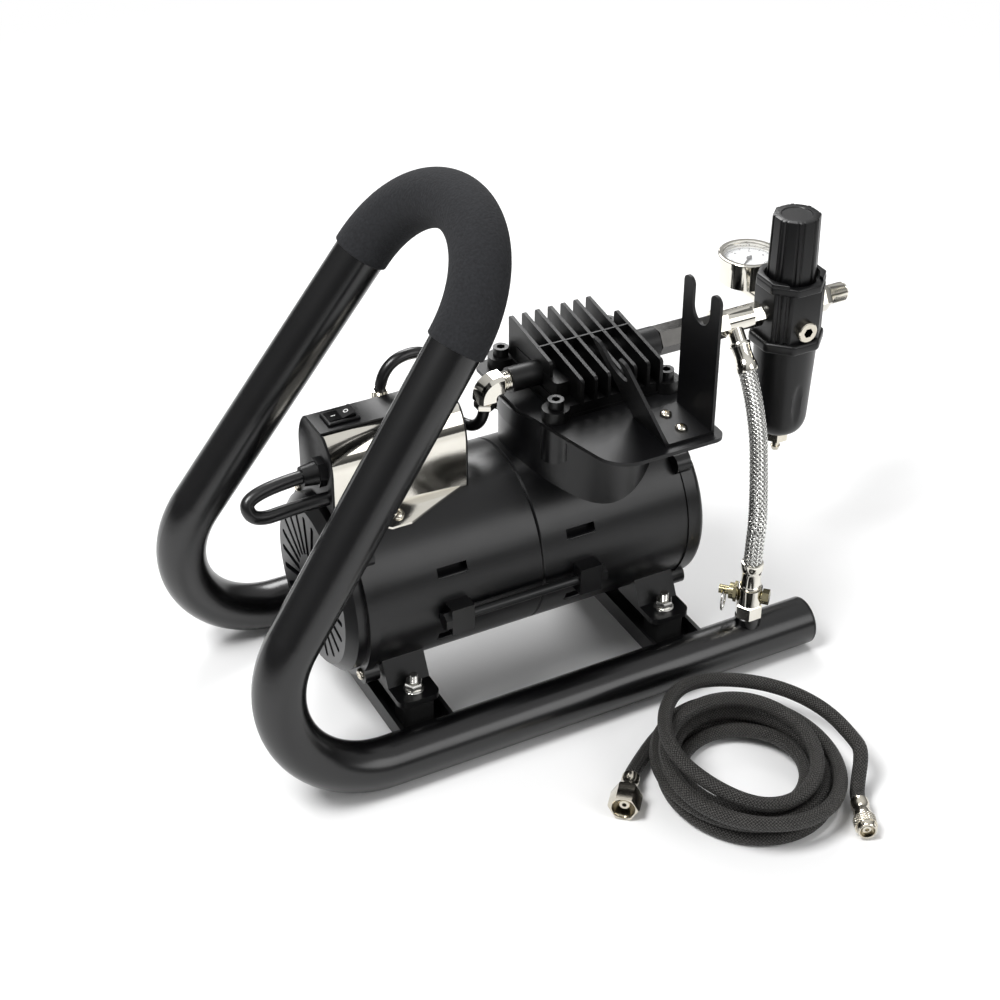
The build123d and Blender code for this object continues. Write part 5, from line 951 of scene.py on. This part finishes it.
knurl = {
    "radius": 0.00695, "depth": 0.0004, "start": 0.0015, "end": 0.0078, "count": 26, "sides": 130, "rows": 26,
    "tip": [
        (0, 0.0058), (0.0004, 0.0064), (0.0015, 0.0066), (0.0078, 0.0062), (0.0085, 0.0058),
        (0.0113, 0.0058), (0.012, 0.0053), (0.0118, 0.0046), (0.007, 0.0044), (0.007, 0.003),
        (0.0102, 0.0026), (0.0104, 0.0013), (0.006, 0.0012),
    ],
}
form = bmesh.new()
place = facing(rightTip, rightWay)
lathe(form, place, sleeve, 36, capStart=False, capEnd=False)
rings = []
for i in range(knurl["rows"] + 1):
    along = knurl["start"] + (knurl["end"] - knurl["start"]) * i / knurl["rows"]
    ring = []
    for k in range(knurl["sides"]):
        turn = k / knurl["sides"]
        climb = along * knurl["count"] / (2 * pi * knurl["radius"])
        cuts = [abs(((turn * knurl["count"] + hand * climb) % 1) * 2 - 1) for hand in (1, -1)]
        radius = knurl["radius"] - knurl["depth"] * max(max(cuts) * 2 - 1, 0)
        x, y = radius * cos(2 * pi * turn), radius * sin(2 * pi * turn)
        ring.append(form.verts.new(place @ Vector((x, y, along))))
    rings.append(ring)
skin(form, rings)
lathe(form, place, knurl["tip"], 36)
smallNut = addPiece("knurled_nut", form, nickel, "frame", "chrome", "hose_end_small")
print("coil done")

studio = {
    "floorSize": 8, "floorHeight": -0.0005, "paper": "#f4f4f4", "ambient": 0.32,
    "fade": {"From Min": 0.45, "From Max": 1.3}, "glossRamp": ((0.05, 0.07), (0.85, 0.8)),
}
bpy.ops.mesh.primitive_plane_add(size=studio["floorSize"], location=(0, 0, studio["floorHeight"]))
floor = bpy.context.object
floor.name = "studio_floor"
paper, paperTree, paperShader = newMaterial("pale_paper", Roughness=0.9)
paperShader.inputs["Base Color"].default_value = toLinear(studio["paper"])
# far from the object the paper turns to plain white for the camera and for metal, so no horizon shows
seen = addNode(paperTree, "ShaderNodeLightPath")
spot = addNode(paperTree, "ShaderNodeTexCoord").outputs["Object"]
reach = addNode(paperTree, "ShaderNodeVectorMath", {0: spot}, operation="LENGTH")
distance = {"Value": reach.outputs["Value"], **studio["fade"]}
far = addNode(paperTree, "ShaderNodeMapRange", distance, interpolation_type="SMOOTHSTEP")
rays = {0: seen.outputs["Is Camera Ray"], 1: seen.outputs["Is Glossy Ray"]}
direct = addNode(paperTree, "ShaderNodeMath", rays, operation="MAXIMUM")
shares = {0: far.outputs["Result"], 1: direct.outputs[0]}
whiten = addNode(paperTree, "ShaderNodeMath", shares, operation="MULTIPLY")
glow = addNode(paperTree, "ShaderNodeEmission")
layers = {"Fac": whiten.outputs[0], 1: paperShader.outputs[0], 2: glow.outputs[0]}
sheet = addNode(paperTree, "ShaderNodeMixShader", layers)
paperTree.links.new(sheet.outputs[0], paperTree.nodes["Material Output"].inputs["Surface"])
floor.data.materials.append(paper)

# world: white to the camera, a soft fill, and a gradient for what shines so that black stays black
world = bpy.data.worlds.new("studio")
scene.world = world
world.use_nodes = True
tree = world.node_tree
ray = addNode(tree, "ShaderNodeLightPath")
way = addNode(tree, "ShaderNodeTexCoord").outputs["Generated"]
parts = addNode(tree, "ShaderNodeSeparateXYZ", {"Vector": way})
gloss = addNode(tree, "ShaderNodeValToRGB", {"Fac": parts.outputs["Z"]})
for stop, (position, level) in zip(gloss.color_ramp.elements, studio["glossRamp"]):
    stop.position = position
    stop.color = (level, level, level, 1)
rays = {0: ray.outputs["Is Camera Ray"], 1: ray.outputs["Is Transmission Ray"]}
plain = addNode(tree, "ShaderNodeMath", rays, operation="MAXIMUM")
fill = {"Factor": ray.outputs["Is Glossy Ray"], "B": gloss.outputs["Color"]}
soft = addNode(tree, "ShaderNodeMix", fill, A=studio["ambient"])
strength = addNode(tree, "ShaderNodeMix", {"Factor": plain.outputs[0], "A": soft.outputs["Result"]}, B=1.0)
sky = tree.nodes["Background"]
sky.inputs["Color"].default_value = (1, 1, 1, 1)
tree.links.new(strength.outputs["Result"], sky.inputs["Strength"])

lamps = [
    {"name": "key_softbox", "at": (-1.0, -0.2, 1.7), "aim": (0, 0, 0.15), "size": 0.7, "power": 33},
    {"name": "rear_softbox", "at": (0.5, 1.4, 1.5), "aim": (0, 0, 0.15), "size": 0.9, "power": 27},
    {"name": "front_fill", "at": (0.8, -1.7, 1.2), "aim": (0, 0, 0.12), "size": 1.2, "power": 12},
]
for lamp in lamps:
    aim = Vector(lamp["aim"]) - Vector(lamp["at"])
    rotation = aim.to_track_quat("-Z", "Y").to_euler()
    bpy.ops.object.light_add(type="AREA", location=lamp["at"], rotation=rotation)
    light = bpy.context.object
    light.name = lamp["name"]
    light.data.size = lamp["size"]
    light.data.energy = lamp["power"]

view = {"at": (-0.4932, -0.8964, 0.8031), "tilt": 55.738, "heading": -27.486, "lens": 69.03, "sensor": 36}
bpy.ops.object.camera_add(location=view["at"], rotation=(radians(view["tilt"]), 0, radians(view["heading"])))
camera = bpy.context.object
camera.data.lens = view["lens"]
camera.data.sensor_width = view["sensor"]
scene.camera = camera
scene.view_settings.view_transform = "Standard"
